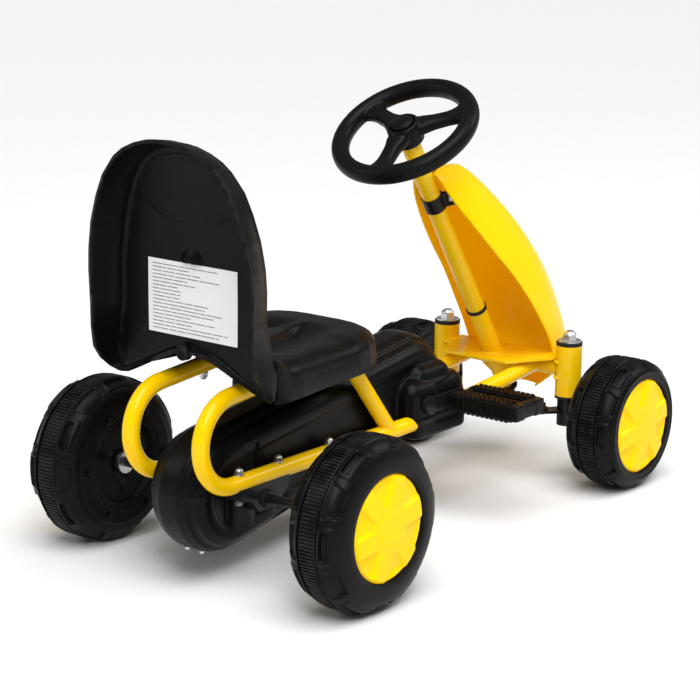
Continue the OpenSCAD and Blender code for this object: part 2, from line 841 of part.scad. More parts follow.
module seat_shell() {
    arch = 150;
    color(black) translate([0, rear_axle_y, 0]) difference() {
        union() {
            seat_back();
            seat_pan();
            both_sides() for (y = seat_bolt_y) translate([rail_x, y, upper_rail_z(y)])
                cylinder(d = 20, h = pan_top_z - 1 - upper_rail_z(y));
        }
        translate([-arch / 2, 20, 200]) cube([arch, 130, pan_top_z - seat_wall - 202]);
        both_sides() translate([rail_x, 0, 0]) {
            upper_rail(rail_d + 0.1);
            for (y = seat_bolt_y) translate([0, y, 0]) {
                translate([0, 0, 230]) cylinder(d = 6.2, h = 80);
                translate([0, 0, pan_top_z - 3.2]) cylinder(d = 14.6, h = 10);
            }
        }
    }
}

module seat_bolts() {
    color(steel) both_sides() for (y = seat_bolt_y)
        translate([rail_x, rear_axle_y + y, 0]) {
            low = upper_rail_z(y) - rail_d / 2 - 7;
            translate([0, 0, low]) cylinder(d = 6, h = pan_top_z - 1.5 - low);
            translate([0, 0, pan_top_z - 3.15]) cylinder(d = 14, h = 2.9);
            translate([0, 0, low]) cylinder(d = 11.5, h = 5, $fn = 6);
        }
}

module seat_label() {
    color("white") translate([-72.5, rear_axle_y + back_front_y + seat_wall + 0.02, 315])
        cube([145, 0.5, 93]);
}

/* ---- hood over the steering column ---- */
// Plan sections of the hood: height, rear edge y, nose y and half width.
hood_levels = [[140, -650, -712, 66], [190, -628, -718, 77], [245, -592, -704, 73],
    [300, -548, -680, 65], [370, -478, -624, 51], [430, -432, -560, 35],
    [472, -404, -492, 20]];
hood_wall = 3;

// A half ellipse for the nose, closed by a flat rear side moved back by reach.
module hood_section(level, inset, reach) {
    rear = level[1];
    nose = level[2] + inset;
    half = level[3] - inset;
    translate([0, 0, level[0]]) linear_extrude(0.5)
        polygon(concat([for (i = [0:16]) let (a = 180 + 180 * i / 16)
            [half * cos(a), rear + (rear - nose) * sin(a)]],
            [[half, rear + reach], [-half, rear + reach]]));
}

module hood_solid(inset, reach) {
    hull() for (level = hood_levels) hood_section(level, inset, reach);
}

module fairing() {
    color(yellow) translate([0, rear_axle_y, 0]) difference() {
        hood_solid(0, 0.5);
        translate([0, 0, -hood_wall]) hood_solid(hood_wall, 20);
        translate([-90, -680, 130]) cube([180, 200, 60]);
        translate([0, -rear_axle_y, 0]) on_column() translate([0, 0, 150])
            cylinder(d = shaft_d + 8, h = 250);
    }
}

module fairing_screws() {
    color(steel) both_sides() translate([30, kingpin_y - 14, crossmember_z])
        rotate([90, 0, 0]) cylinder(d = 6, h = 6);
}

clamp_s = 290;

module column_clamp() {
    h = 22;
    inner = shaft_d + 2 * gap;
    color(black) on_column() translate([0, 0, clamp_s - h / 2]) difference() {
        union() {
            cylinder(d = inner + 6, h = h);
            rotate([0, 0, 210]) translate([inner / 2 - 1, -2, 0]) cube([16, 4, h]);
        }
        translate([0, 0, -1]) cylinder(d = inner, h = h + 2);
        rotate([0, 0, 210]) translate([inner / 2 + 9, 0, h / 2]) rotate([90, 0, 0])
            cylinder(d = 5.1, h = 20, center = true);
    }
}

module clamp_screw() {
    inner = shaft_d + 2 * gap;
    color(steel) on_column() translate([0, 0, clamp_s]) rotate([0, 0, 210])
        translate([inner / 2 + 9, 0, 0]) rotate([-90, 0, 0]) {
            translate([0, 0, -5]) cylinder(d = 5, h = 10);
            translate([0, 0, 2.05]) cylinder(d = 10, h = 3);
        }
}

side_rail_left();
side_rail_right();
front_crossmember();
gusset_plate();
kingpin_tube_left();
kingpin_tube_right();
steering_head_tube();
steering_bushes();
kingpin_bushes();
axle_block_left();
axle_block_right();
axle_bushes();
rail_bolts();
casing_upper();
casing_lower();
casing_screws();
crank_bushes();
chain();
seat_shell();
seat_bolts();
seat_label();
fairing();
fairing_screws();
column_clamp();
clamp_screw();
steering_shaft();
pitman_arm();
steering_wheel();
steering_wheel_button();
steering_wheel_bolt();
tie_rod_bolt();
tie_rod_left();
tie_rod_right();
knuckle_left();
knuckle_right();
kingpin_nut_left();
kingpin_nut_right();
stub_nut_left();
stub_nut_right();
front_tyre_left();
front_disc_left();
front_cap_left();
front_tyre_right();
front_disc_right();
front_cap_right();
rear_axle();
rear_sprocket();
rear_axle_nuts();
rear_tyre_left();
rear_disc_left();
rear_cap_left();
rear_tyre_right();
rear_disc_right();
rear_cap_right();
crankshaft();
chainwheel();
pedal_left();
pedal_right();
pedal_nuts();
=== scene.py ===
"""Looks of a toddler's pedal go kart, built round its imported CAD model.

Each sub-assembly is a class: its fields are sizes in millimetres and its methods build and
dress the pieces. Finishes are frozen dataclasses that turn into procedural materials.
The kart faces -Y, +X is the driver's left and the floor is z = 0.
"""

import sys

import json
import logging
import math
from dataclasses import dataclass, field
from enum import Enum
from typing import Any, Callable, Iterable, Sequence

import bmesh
import bpy
import numpy as np
from mathutils import Matrix, Vector
from mathutils.bvhtree import BVHTree

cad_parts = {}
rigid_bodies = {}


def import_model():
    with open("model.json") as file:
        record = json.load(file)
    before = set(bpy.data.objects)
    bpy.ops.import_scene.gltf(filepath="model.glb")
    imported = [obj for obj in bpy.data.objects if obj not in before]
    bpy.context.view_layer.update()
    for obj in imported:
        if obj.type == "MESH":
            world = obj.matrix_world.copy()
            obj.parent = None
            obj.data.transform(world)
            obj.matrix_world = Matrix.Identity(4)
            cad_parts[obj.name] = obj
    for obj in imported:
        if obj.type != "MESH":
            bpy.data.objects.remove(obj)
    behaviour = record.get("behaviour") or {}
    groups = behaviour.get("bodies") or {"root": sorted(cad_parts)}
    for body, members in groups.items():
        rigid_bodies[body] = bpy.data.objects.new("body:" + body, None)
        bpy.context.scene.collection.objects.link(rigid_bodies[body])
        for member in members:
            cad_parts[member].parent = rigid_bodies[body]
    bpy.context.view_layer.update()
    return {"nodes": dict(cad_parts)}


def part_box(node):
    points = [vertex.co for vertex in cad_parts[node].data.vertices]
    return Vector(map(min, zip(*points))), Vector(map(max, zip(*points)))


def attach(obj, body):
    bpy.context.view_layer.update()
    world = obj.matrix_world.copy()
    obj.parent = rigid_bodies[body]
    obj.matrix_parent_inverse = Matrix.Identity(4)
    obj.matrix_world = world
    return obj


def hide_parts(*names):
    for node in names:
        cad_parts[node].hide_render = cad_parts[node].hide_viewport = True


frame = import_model()
LOG = logging.getLogger("kart")
MM = 0.001
Array = np.ndarray


class Side(Enum):
    """A side of the kart, with the sign of its x coordinates."""

    LEFT = 1
    RIGHT = -1

    @property
    def word(self) -> str:
        """The side's word in the names of pieces and bodies."""
        return self.name.lower()


# ---------------------------------------------------------------------------- node trees


class Signal:
    """A node's output socket that takes part in ordinary arithmetic."""

    def __init__(self, nodes: "Nodes", socket: bpy.types.NodeSocket) -> None:
        """Keeps the socket and the tree it belongs to."""
        self.nodes = nodes
        self.socket = socket

    def maths(self, operation: str, *values: Any) -> "Signal":
        """Adds a Math node.

        Args:
            operation: The Math node's operation.
            values: Numbers or signals for its inputs, in order.

        Returns:
            The node's result.
        """
        inputs = dict(enumerate(values))
        return self.nodes.add("ShaderNodeMath", {"operation": operation}, inputs)

    def __add__(self, other: Any) -> "Signal":
        """Sum."""
        return self.maths("ADD", self, other)

    __radd__ = __add__

    def __mul__(self, other: Any) -> "Signal":
        """Product."""
        return self.maths("MULTIPLY", self, other)

    __rmul__ = __mul__

    def __sub__(self, other: Any) -> "Signal":
        """Difference."""
        return self.maths("SUBTRACT", self, other)

    def __rsub__(self, other: Any) -> "Signal":
        """Difference with this signal second."""
        return self.maths("SUBTRACT", other, self)

    def __truediv__(self, other: Any) -> "Signal":
        """Quotient."""
        return self.maths("DIVIDE", self, other)

    def step(self, low: float, high: float) -> "Signal":
        """Smooth rise from 0 at low to 1 at high.

        Args:
            low: Value below which the result is 0.
            high: Value above which the result is 1.

        Returns:
            The eased signal.
        """
        inputs = {"Value": self, "From Min": low, "From Max": high}
        settings = {"interpolation_type": "SMOOTHSTEP"}
        return self.nodes.add("ShaderNodeMapRange", settings, inputs, "Result")


class Nodes:
    """A node tree with one method that adds any node."""

    def __init__(self, tree: bpy.types.NodeTree) -> None:
        """Keeps the tree."""
        self.tree = tree

    def link(self, value: Any, socket: bpy.types.NodeSocket) -> None:
        """Links a signal to a socket, or stores a plain value in it."""
        if isinstance(value, Signal):
            self.tree.links.new(value.socket, socket)
        else:
            socket.default_value = value

    def raw(self, kind: str, settings: dict[str, Any], inputs: dict[Any, Any]) -> bpy.types.Node:
        """Adds a node of any type.

        Args:
            kind: The node's type name.
            settings: Properties of the node, set before its sockets; "stops" fills a ramp.
            inputs: Values or signals by socket name or index.

        Returns:
            The node itself.
        """
        node = self.tree.nodes.new(kind)
        for name, value in settings.items():
            if name == "stops":
                while len(node.color_ramp.elements) < len(value):
                    node.color_ramp.elements.new(0.5)
                for element, (place, colour) in zip(node.color_ramp.elements, value):
                    element.position = place
                    element.color = colour
            else:
                setattr(node, name, value)
        for name, value in inputs.items():
            self.link(value, node.inputs[name])
        return node

    def add(self, kind: str, settings: dict[str, Any], inputs: dict[Any, Any],
            result: Any = 0) -> Signal:
        """Adds a node and gives one of its outputs.

        Args:
            kind: The node's type name.
            settings: Properties of the node.
            inputs: Values or signals by socket name or index.
            result: Name or index of the output.

        Returns:
            That output as a signal.
        """
        return Signal(self, self.raw(kind, settings, inputs).outputs[result])


# ---------------------------------------------------------------------------- finishes

Colour = tuple[float, float, float]


def rgba(colour: Colour) -> tuple[float, float, float, float]:
    """A colour with full alpha."""
    return (*colour, 1.0)


@dataclass(frozen=True)
class Finish:
    """What every finish shares: a colour, a gloss and slow variation of both."""

    name: str
    colour: Colour
    rough: float
    slot: str | None = None
    metallic: float = 0.0
    coat: float = 0.0
    specular: float = 0.11
    mottle: float = 0.06
    grain: float = 0.5
    grain_depth: float = 0.02
    wear: float = 0.25
    wear_colour: Colour = (0.03, 0.03, 0.031)
    scratches: float = 0.3
    # glow and its colour paint light into a finish as emission, though the piece is no lamp.
    glow: float = 0.0
    glow_colour: Colour = (1.0, 0.40, 0.0)

    def material(self) -> bpy.types.Material:
        """The finish as a material, made once.

        Returns:
            The material with this finish's name.
        """
        title = f"{self.name}_finish"
        found = bpy.data.materials.get(title)
        if found:
            return found
        made = bpy.data.materials.new(title)
        made.use_nodes = True
        made.node_tree.nodes.clear()
        nodes = Nodes(made.node_tree)
        shader = self.shader(nodes)
        nodes.raw("ShaderNodeOutputMaterial", {}, {"Surface": shader})
        return made

    def place(self, nodes: Nodes) -> Signal:
        """Object coordinates of the point."""
        return nodes.add("ShaderNodeTexCoord", {}, {}, "Object")

    def noise(self, nodes: Nodes, where: Signal, size: float, detail: float = 3.0) -> Signal:
        """Noise whose blobs are about size millimetres across.

        Args:
            nodes: The material's tree.
            where: Coordinates in metres.
            size: Size of a blob in millimetres.
            detail: Octaves of the noise.

        Returns:
            A value round 0.5.
        """
        inputs = {"Vector": where, "Scale": 1.0 / (size * MM), "Detail": detail}
        return nodes.add("ShaderNodeTexNoise", {}, inputs, "Fac")

    def streaks(self, nodes: Nodes, where: Signal) -> Signal:
        """Fine scratches in two directions, 1 on a scratch."""
        total: Any = 0.0
        for turn, stretch in ((0.4, (9.0, 140.0, 90.0)), (1.9, (160.0, 14.0, 120.0))):
            inputs = {"Vector": where, "Rotation": (turn, 0.3 * turn, turn), "Scale": stretch}
            drawn = nodes.add("ShaderNodeMapping", {}, inputs)
            lines = nodes.add("ShaderNodeTexNoise", {}, {"Vector": drawn, "Scale": 4.0}, "Fac")
            total = lines.step(0.66, 0.74) + total
        return total

    def edges(self, nodes: Nodes) -> Signal:
        """1 on raised edges, where hands and shoes rub."""
        point = nodes.add("ShaderNodeNewGeometry", {}, {}, "Pointiness")
        return point.step(0.515, 0.60)

    def mix(self, nodes: Nodes, factor: Any, first: Any, second: Any) -> Signal:
        """Blend of two colours.

        Args:
            nodes: The material's tree.
            factor: Share of the second colour.
            first: Colour at 0, a triple or a signal.
            second: Colour at 1, a triple or a signal.

        Returns:
            The blended colour.
        """
        first = first if isinstance(first, Signal) else rgba(first)
        second = second if isinstance(second, Signal) else rgba(second)
        inputs = {0: factor, 6: first, 7: second}
        return nodes.add("ShaderNodeMix", {"data_type": "RGBA"}, inputs, 2)

    def surface(self, nodes: Nodes) -> tuple[Signal, Signal, Signal]:
        """Colour, roughness and height of the finish.

        Args:
            nodes: The material's tree.

        Returns:
            Base colour, roughness and a height in grain depths.
        """
        where = self.place(nodes)
        cloud = self.noise(nodes, where, 60.0)
        smudge = self.noise(nodes, where, 14.0, 5.0)
        fine = self.noise(nodes, where, self.grain, 2.0)
        rub = self.edges(nodes) * smudge.step(0.35, 0.65) * self.wear
        lines = self.streaks(nodes, where) * smudge.step(0.5, 0.75) * self.scratches
        dark = tuple(c * (1.0 - 2.0 * self.mottle) for c in self.colour)
        light = tuple(min(1.0, c * (1.0 + self.mottle)) for c in self.colour)
        colour = self.mix(nodes, cloud, dark, light)
        colour = self.mix(nodes, rub + lines * 0.3, colour, self.wear_colour)
        rough = (cloud - 0.5) * 0.16 + (smudge - 0.5) * 0.2 + self.rough
        rough = rough + lines * 0.15 - rub * 0.08
        height = fine + lines * -0.6 + smudge * 0.4
        return colour, rough, height

    def shader(self, nodes: Nodes) -> Signal:
        """The finish's Principled shader."""
        colour, rough, height = self.surface(nodes)
        bump = nodes.add("ShaderNodeBump", {}, {
            "Height": height, "Strength": 0.5, "Distance": self.grain_depth * MM}, "Normal")
        # The emission inputs carry the painted glow: light painted into the finish, not a lamp.
        return nodes.add("ShaderNodeBsdfPrincipled", {}, {
            "Base Color": colour, "Roughness": rough, "Metallic": self.metallic,
            "Coat Weight": self.coat, "Coat Roughness": 0.08, "Normal": bump,
            "Specular IOR Level": self.specular, "Emission Strength": self.glow,
            "Emission Color": rgba(self.glow_colour)}, "BSDF")


@dataclass(frozen=True)
class MouldedPlastic(Finish):
    """Black moulded plastic with a leathery spark-eroded grain."""

    pit: float = 1.1

    def surface(self, nodes: Nodes) -> tuple[Signal, Signal, Signal]:
        """Adds small pits of the mould's grain to the shared surface."""
        colour, rough, height = super().surface(nodes)
        inputs = {"Vector": self.place(nodes), "Scale": 1.0 / (self.pit * MM)}
        cell = nodes.add("ShaderNodeTexVoronoi", {"feature": "SMOOTH_F1"}, inputs, "Distance")
        return colour, rough + cell * 0.06, height + cell * 1.2


@dataclass(frozen=True)
class TreadPlastic(MouldedPlastic):
    """Wheel moulding: pale dust in the hollows and scuffs where it rolls."""

    dust: float = 0.35

    def surface(self, nodes: Nodes) -> tuple[Signal, Signal, Signal]:
        """Adds dust in hollows to the moulded surface."""
        colour, rough, height = super().surface(nodes)
        point = nodes.add("ShaderNodeNewGeometry", {}, {}, "Pointiness")
        blow = self.noise(nodes, self.place(nodes), 22.0, 6.0)
        hollow = (1.0 - point.step(0.40, 0.50)) * blow.step(0.4, 0.7) * self.dust
        colour = self.mix(nodes, hollow, colour, (0.011, 0.0105, 0.01))
        return colour, rough + hollow * 0.2, height


@dataclass(frozen=True)
class PowderCoat(Finish):
    """Baked powder on steel: a soft orange peel under a glossy skin, chips at edges."""

    peel: float = 2.6
    chip_colour: Colour = (0.35, 0.33, 0.30)

    def surface(self, nodes: Nodes) -> tuple[Signal, Signal, Signal]:
        """Adds orange peel and a few chips to the shared surface."""
        colour, rough, height = super().surface(nodes)
        where = self.place(nodes)
        peel = self.noise(nodes, where, self.peel, 1.0)
        chip = self.noise(nodes, where, 5.0, 6.0).step(0.72, 0.75) * self.edges(nodes)
        colour = self.mix(nodes, chip, colour, self.chip_colour)
        return colour, rough + chip * 0.3, peel * 1.4 + height * 0.3 - chip * 1.5


@dataclass(frozen=True)
class PlatedSteel(Finish):
    """Bright zinc: brushed lines, faint cloudy passivation and dull spots."""

    tint: Colour = (0.62, 0.60, 0.52)

    def surface(self, nodes: Nodes) -> tuple[Signal, Signal, Signal]:
        """Adds turned lines and cloudy tint to the shared surface."""
        colour, rough, height = super().surface(nodes)
        where = self.place(nodes)
        drawn = nodes.add("ShaderNodeMapping", {}, {"Vector": where, "Scale": (40, 900, 900)})
        lines = nodes.add("ShaderNodeTexNoise", {}, {"Vector": drawn, "Scale": 2.0}, "Fac")
        cloud = self.noise(nodes, where, 4.0, 4.0)
        colour = self.mix(nodes, cloud.step(0.45, 0.8) * 0.6, colour, self.tint)
        return colour, rough + lines * 0.12 + cloud * 0.08, height + lines


@dataclass(frozen=True)
class PrintedFilm(Finish):
    """Pale sticker film with a soft sheen and slight yellowing in clouds."""


@dataclass(frozen=True)
class StudioPaper(Finish):
    """The pale floor."""


BLACK_SHELL = MouldedPlastic("black_shell", (0.0032, 0.0032, 0.0034), 0.33, "black_shell",
                             grain_depth=0.035, wear=0.35)
SEAT_PLASTIC = MouldedPlastic("seat_plastic", (0.0027, 0.0027, 0.0029), 0.35, "seat_plastic",
                              grain_depth=0.03, wear=0.25, pit=0.8)
GRIP_PLASTIC = MouldedPlastic("grip_plastic", (0.0042, 0.0042, 0.0044), 0.36, "black_shell",
                              grain_depth=0.04, wear=0.3, pit=0.7)
WHEEL_PLASTIC = TreadPlastic("wheel_plastic", (0.0036, 0.0036, 0.0038), 0.34, "wheel_plastic",
                             grain_depth=0.04, wear=0.5)
# Yellow plastic for the hood and wheel caps has a weak orange painted glow. It brightens the
# hood's shaded inside in place of light showing through the plastic.
YELLOW_PLASTIC = Finish("yellow_plastic", (1.0, 0.64, 0.0), 0.24, "yellow_plastic",
                        mottle=0.015, grain=1.4, grain_depth=0.015, wear=0.15,
                        wear_colour=(1.0, 0.72, 0.03), scratches=0.2, glow=0.10)
YELLOW_COAT = PowderCoat("yellow_coat", (1.0, 0.60, 0.0), 0.20, "yellow_steel", coat=0.2,
                         mottle=0.02, grain_depth=0.03, wear=0.12,
                         wear_colour=(0.95, 0.7, 0.12), scratches=0.2)
BLACK_COAT = PowderCoat("black_coat", (0.008, 0.008, 0.0085), 0.34, "black_steel", coat=0.15,
                        grain_depth=0.03, wear=0.3)
ZINC = PlatedSteel("zinc_plate", (0.72, 0.73, 0.75), 0.26, "zinc_steel", metallic=1.0,
                   grain_depth=0.01, wear=0.2, wear_colour=(0.85, 0.85, 0.86))
CHAIN_STEEL = PlatedSteel("chain_steel", (0.20, 0.19, 0.18), 0.42, "chain_steel",
                          metallic=1.0, tint=(0.10, 0.085, 0.07), grain_depth=0.02)
BUSH_BLACK = Finish("bush_black", (0.02, 0.02, 0.021), 0.5, "bush_plastic")
LABEL_FILM = PrintedFilm("label_film", (0.80, 0.80, 0.79), 0.38, "label_film", mottle=0.03,
                         wear=0.1, wear_colour=(0.7, 0.69, 0.66), grain_depth=0.008)
LABEL_INK = PrintedFilm("label_ink", (0.23, 0.23, 0.24), 0.45, "label_film", wear=0.0,
                        wear_colour=(0.4, 0.4, 0.4), scratches=0.1)
FLOOR_PAPER = StudioPaper("studio_paper", (0.86, 0.86, 0.86), 0.75, mottle=0.01, wear=0.0,
                          wear_colour=(0.8, 0.8, 0.8), scratches=0.0, grain_depth=0.02)


# ---------------------------------------------------------------------------- shapes


def ease(low: float, high: float, value: Any) -> Any:
    """Smooth rise from 0 at low to 1 at high, for numbers or arrays.

    Args:
        low: Where the rise starts.
        high: Where it ends.
        value: A number or an array.

    Returns:
        The eased value.
    """
    t = np.clip((value - low) / (high - low), 0.0, 1.0)
    return t * t * (3.0 - 2.0 * t)


def patch(value: Any, low: float, high: float, soft: float) -> Any:
    """1 between low and high, easing to 0 over soft outside them."""
    return ease(low - soft, low, value) * (1.0 - ease(high, high + soft, value))


def through(keys: Sequence[Sequence[float]], where: Any) -> Array:
    """Smooth curve through rows of (place, value, value, ...).

    Args:
        keys: Rows in order of place.
        where: Places to evaluate at.

    Returns:
        One row of values for each place, by monotone cubic steps.
    """
    rows = np.array(keys, float)
    x, y = rows[:, 0], rows[:, 1:]
    h = np.diff(x)[:, None]
    slope = np.diff(y, axis=0) / h
    tangent = np.zeros_like(y)
    tangent[0], tangent[-1] = slope[0], slope[-1]
    both = slope[:-1] * slope[1:]
    mean = 2.0 * both / np.where(np.abs(slope[:-1] + slope[1:]) < 1e-9, 1.0,
                                 slope[:-1] + slope[1:])
    tangent[1:-1] = np.where(both > 0, mean, 0.0)
    spot = np.atleast_1d(np.asarray(where, float))
    k = np.clip(np.searchsorted(x, spot) - 1, 0, len(x) - 2)
    t = ((spot - x[k]) / (x[k + 1] - x[k]))[:, None]
    hk = h[k]
    return ((1 + 2 * t) * (1 - t) ** 2 * y[k] + t * (1 - t) ** 2 * hk * tangent[k]
            + t * t * (3 - 2 * t) * y[k + 1] + t * t * (t - 1) * hk * tangent[k + 1])


def even(points: Any, step: float, closed: bool = False) -> Array:
    """Points at even distances along a polyline.

    Args:
        points: The polyline's corners.
        step: Wanted distance between points.
        closed: Whether the last corner joins the first.

    Returns:
        The evenly spaced points, without the repeated end if closed.
    """
    run = np.array(points, float)
    if closed:
        run = np.vstack([run, run[:1]])
    length = np.concatenate([[0.0], np.cumsum(np.linalg.norm(np.diff(run, axis=0), axis=1))])
    count = max(4, int(round(length[-1] / step)))
    at = np.linspace(0.0, length[-1], count + 1)[: count if closed else count + 1]
    return np.stack([np.interp(at, length, run[:, i]) for i in range(run.shape[1])], axis=1)


def rounded(points: Any, times: int = 2) -> Array:
    """A closed outline with its corners cut smooth."""
    run = np.array(points, float)
    for _ in range(times):
        ahead = np.roll(run, -1, axis=0)
        run = np.stack([0.75 * run + 0.25 * ahead, 0.25 * run + 0.75 * ahead],
                       axis=1).reshape(-1, run.shape[1])
    return run


@dataclass
class Skin:
    """A mesh being drawn, in millimetres, from grids of points."""

    points: list[Array] = field(default_factory=list)
    faces: list[tuple[int, ...]] = field(default_factory=list)

    def count(self) -> int:
        """Points so far."""
        return sum(len(p) for p in self.points)

    def grid(self, rows: Array, wrap_rows: bool = False, wrap_cols: bool = False) -> int:
        """Adds a sheet of quads.

        Args:
            rows: Points as (row, column, xyz).
            wrap_rows: Whether the last row joins the first.
            wrap_cols: Whether the last column joins the first.

        Returns:
            Index of the grid's first point.
        """
        start = self.count()
        n, m = rows.shape[:2]
        self.points.append(rows.reshape(-1, 3))
        for i in range(n if wrap_rows else n - 1):
            for j in range(m if wrap_cols else m - 1):
                a, b = i * m + j, i * m + (j + 1) % m
                c, d = ((i + 1) % n) * m + (j + 1) % m, ((i + 1) % n) * m + j
                self.faces.append((start + a, start + b, start + c, start + d))
        return start

    def fan(self, start: int, count: int, centre: Iterable[float]) -> None:
        """Closes a ring of points with triangles to a centre."""
        hub = self.count()
        self.points.append(np.array([list(centre)], float))
        for j in range(count):
            self.faces.append((start + j, start + (j + 1) % count, hub))

    def block(self, half: Sequence[float], radius: float, at: Sequence[float],
              cells: int = 6) -> None:
        """Adds a box with rounded edges.

        Args:
            half: Half sizes.
            radius: Radius of the edges.
            at: Centre.
            cells: Quads along each side of a face.
        """
        size, core = np.array(half, float), np.array(half, float) - radius
        ramp = np.linspace(-1.0, 1.0, cells + 1)
        for axis in range(3):
            for sign in (-1.0, 1.0):
                u, v = np.meshgrid(ramp, ramp, indexing="ij")
                cube = np.zeros((cells + 1, cells + 1, 3))
                cube[..., axis] = sign
                cube[..., (axis + 1) % 3], cube[..., (axis + 2) % 3] = u, v * sign
                spot = cube * size
                inner = np.clip(spot, -core, core)
                out = spot - inner
                length = np.linalg.norm(out, axis=-1, keepdims=True)
                out = out / np.maximum(length, 1e-9) * radius
                self.grid(inner + out + np.array(at, float))

    def tube(self, path: Array, radius: Any, sides: int = 24, cap: bool = True) -> None:
        """Adds a tube along a path.

        Args:
            path: Centre line.
            radius: One radius, or one for each point.
            sides: Points round the tube.
            cap: Whether both ends are closed.
        """
        run = np.asarray(path, float)
        way = np.gradient(run, axis=0)
        way /= np.linalg.norm(way, axis=1, keepdims=True)
        side = np.cross(way, [0.13, 0.97, 0.21])
        side /= np.linalg.norm(side, axis=1, keepdims=True)
        up = np.cross(side, way)
        turn = np.linspace(0, 2 * math.pi, sides, endpoint=False)
        size = np.broadcast_to(np.asarray(radius, float), (len(run),))[:, None, None]
        rows = run[:, None] + size * (np.cos(turn)[None, :, None] * side[:, None]
                                      + np.sin(turn)[None, :, None] * up[:, None])
        start = self.grid(rows, wrap_cols=True)
        if cap:
            self.fan(start, sides, run[0])
            self.fan(start + (len(run) - 1) * sides, sides, run[-1])

    def moved(self, matrix: Matrix) -> "Skin":
        """Turns and moves every point by a matrix in millimetres."""
        turn = np.array(matrix.to_3x3())
        shift = np.array(matrix.translation)
        self.points = [p @ turn.T + shift for p in self.points]
        return self

    def joined(self, other: "Skin") -> "Skin":
        """Adds another drawing to this one."""
        start = self.count()
        self.points += other.points
        self.faces += [tuple(i + start for i in f) for f in other.faces]
        return self

    def mesh(self, name: str) -> bpy.types.Object:
        """The drawing as an object in metres, with its doubles merged and faces outwards.

        Args:
            name: Name of the object.

        Returns:
            The new object.
        """
        data = bpy.data.meshes.new(name)
        data.from_pydata((np.vstack(self.points) * MM).tolist(), [], self.faces)
        soup = bmesh.new()
        soup.from_mesh(data)
        bmesh.ops.remove_doubles(soup, verts=soup.verts, dist=0.02 * MM)
        bmesh.ops.recalc_face_normals(soup, faces=soup.faces)
        soup.to_mesh(data)
        soup.free()
        made = bpy.data.objects.new(name, data)
        bpy.context.scene.collection.objects.link(made)
        return made


def baked(made: bpy.types.Object) -> bpy.types.Object:
    """Applies an object's modifiers to its mesh.

    Args:
        made: The object.

    Returns:
        The same object with a plain mesh and no modifiers.
    """
    graph = bpy.context.evaluated_depsgraph_get()
    graph.update()
    data = bpy.data.meshes.new_from_object(made.evaluated_get(graph))
    made.modifiers.clear()
    old, made.data = made.data, data
    data.name = made.name
    bpy.data.meshes.remove(old)
    return made


def modified(made: bpy.types.Object, kind: str, **settings: Any) -> bpy.types.Object:
    """Adds one modifier, with its settings, and applies it."""
    step = made.modifiers.new(kind.title(), kind)
    for name, value in settings.items():
        setattr(step, name, value)
    return baked(made)


def united(made: bpy.types.Object, other: bpy.types.Object) -> None:
    """Puts another object's mesh into the first one and removes the other."""
    soup = bmesh.new()
    soup.from_mesh(made.data)
    soup.from_mesh(other.data)
    soup.to_mesh(made.data)
    soup.free()
    bpy.data.objects.remove(other)


def fused(made: bpy.types.Object, voxel: float, passes: int = 4) -> bpy.types.Object:
    """Melts overlapping shells into one moulding with soft fillets.

    Args:
        made: Object whose shells overlap.
        voxel: Size of a voxel in millimetres.
        passes: Rounds of smoothing.

    Returns:
        The same object.
    """
    modified(made, "REMESH", mode="VOXEL", voxel_size=voxel * MM, use_smooth_shade=True)
    if passes:
        modified(made, "SMOOTH", factor=0.5, iterations=passes)
    return made


def turned(profile: Any, sides: int = 96) -> Array:
    """Rows of points for a shape turned about x, from (x, radius) pairs."""
    x, r = np.array(profile, float).T
    turn = np.linspace(0, 2 * math.pi, sides, endpoint=False)
    return np.stack([np.broadcast_to(x[:, None], (len(x), sides)),
                     r[:, None] * np.cos(turn), r[:, None] * np.sin(turn)], axis=-1)


class Workshop:
    """Dresses finished meshes and fixes them to the kart's bodies."""

    @staticmethod
    def dress(made: bpy.types.Object, finish: Finish, body: str, *stands_for: str,
              crease: float = 38.0) -> bpy.types.Object:
        """Shades, paints and mounts a piece.

        Args:
            made: The piece.
            finish: Its finish.
            body: The body that it moves with.
            stands_for: CAD nodes that it replaces.
            crease: Angle in degrees above which an edge stays sharp.

        Returns:
            The piece.
        """
        data = made.data
        data.materials.clear()
        data.materials.append(finish.material())
        data.polygons.foreach_set("use_smooth", [True] * len(data.polygons))
        data.polygons.foreach_set("material_index", [0] * len(data.polygons))
        data.set_sharp_from_angle(angle=math.radians(crease))
        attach(made, body)
        if stands_for:
            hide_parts(*stands_for)
        LOG.info("%s: %d faces on %s", made.name, len(data.polygons), body)
        return made

    @staticmethod
    def repaint(finish: Finish, *nodes: str) -> None:
        """Gives CAD nodes a finish.

        Args:
            finish: The finish.
            nodes: Names of the CAD nodes.
        """
        for name in nodes:
            data = frame["nodes"][name].data
            data.materials.clear()
            data.materials.append(finish.material())
            LOG.info("%s keeps its shape, in %s", name, finish.name)


# ---------------------------------------------------------------------------- repeats


@dataclass(frozen=True)
class GeoInput:
    """A named input of a geometry tree."""

    name: str
    kind: str
    value: Any


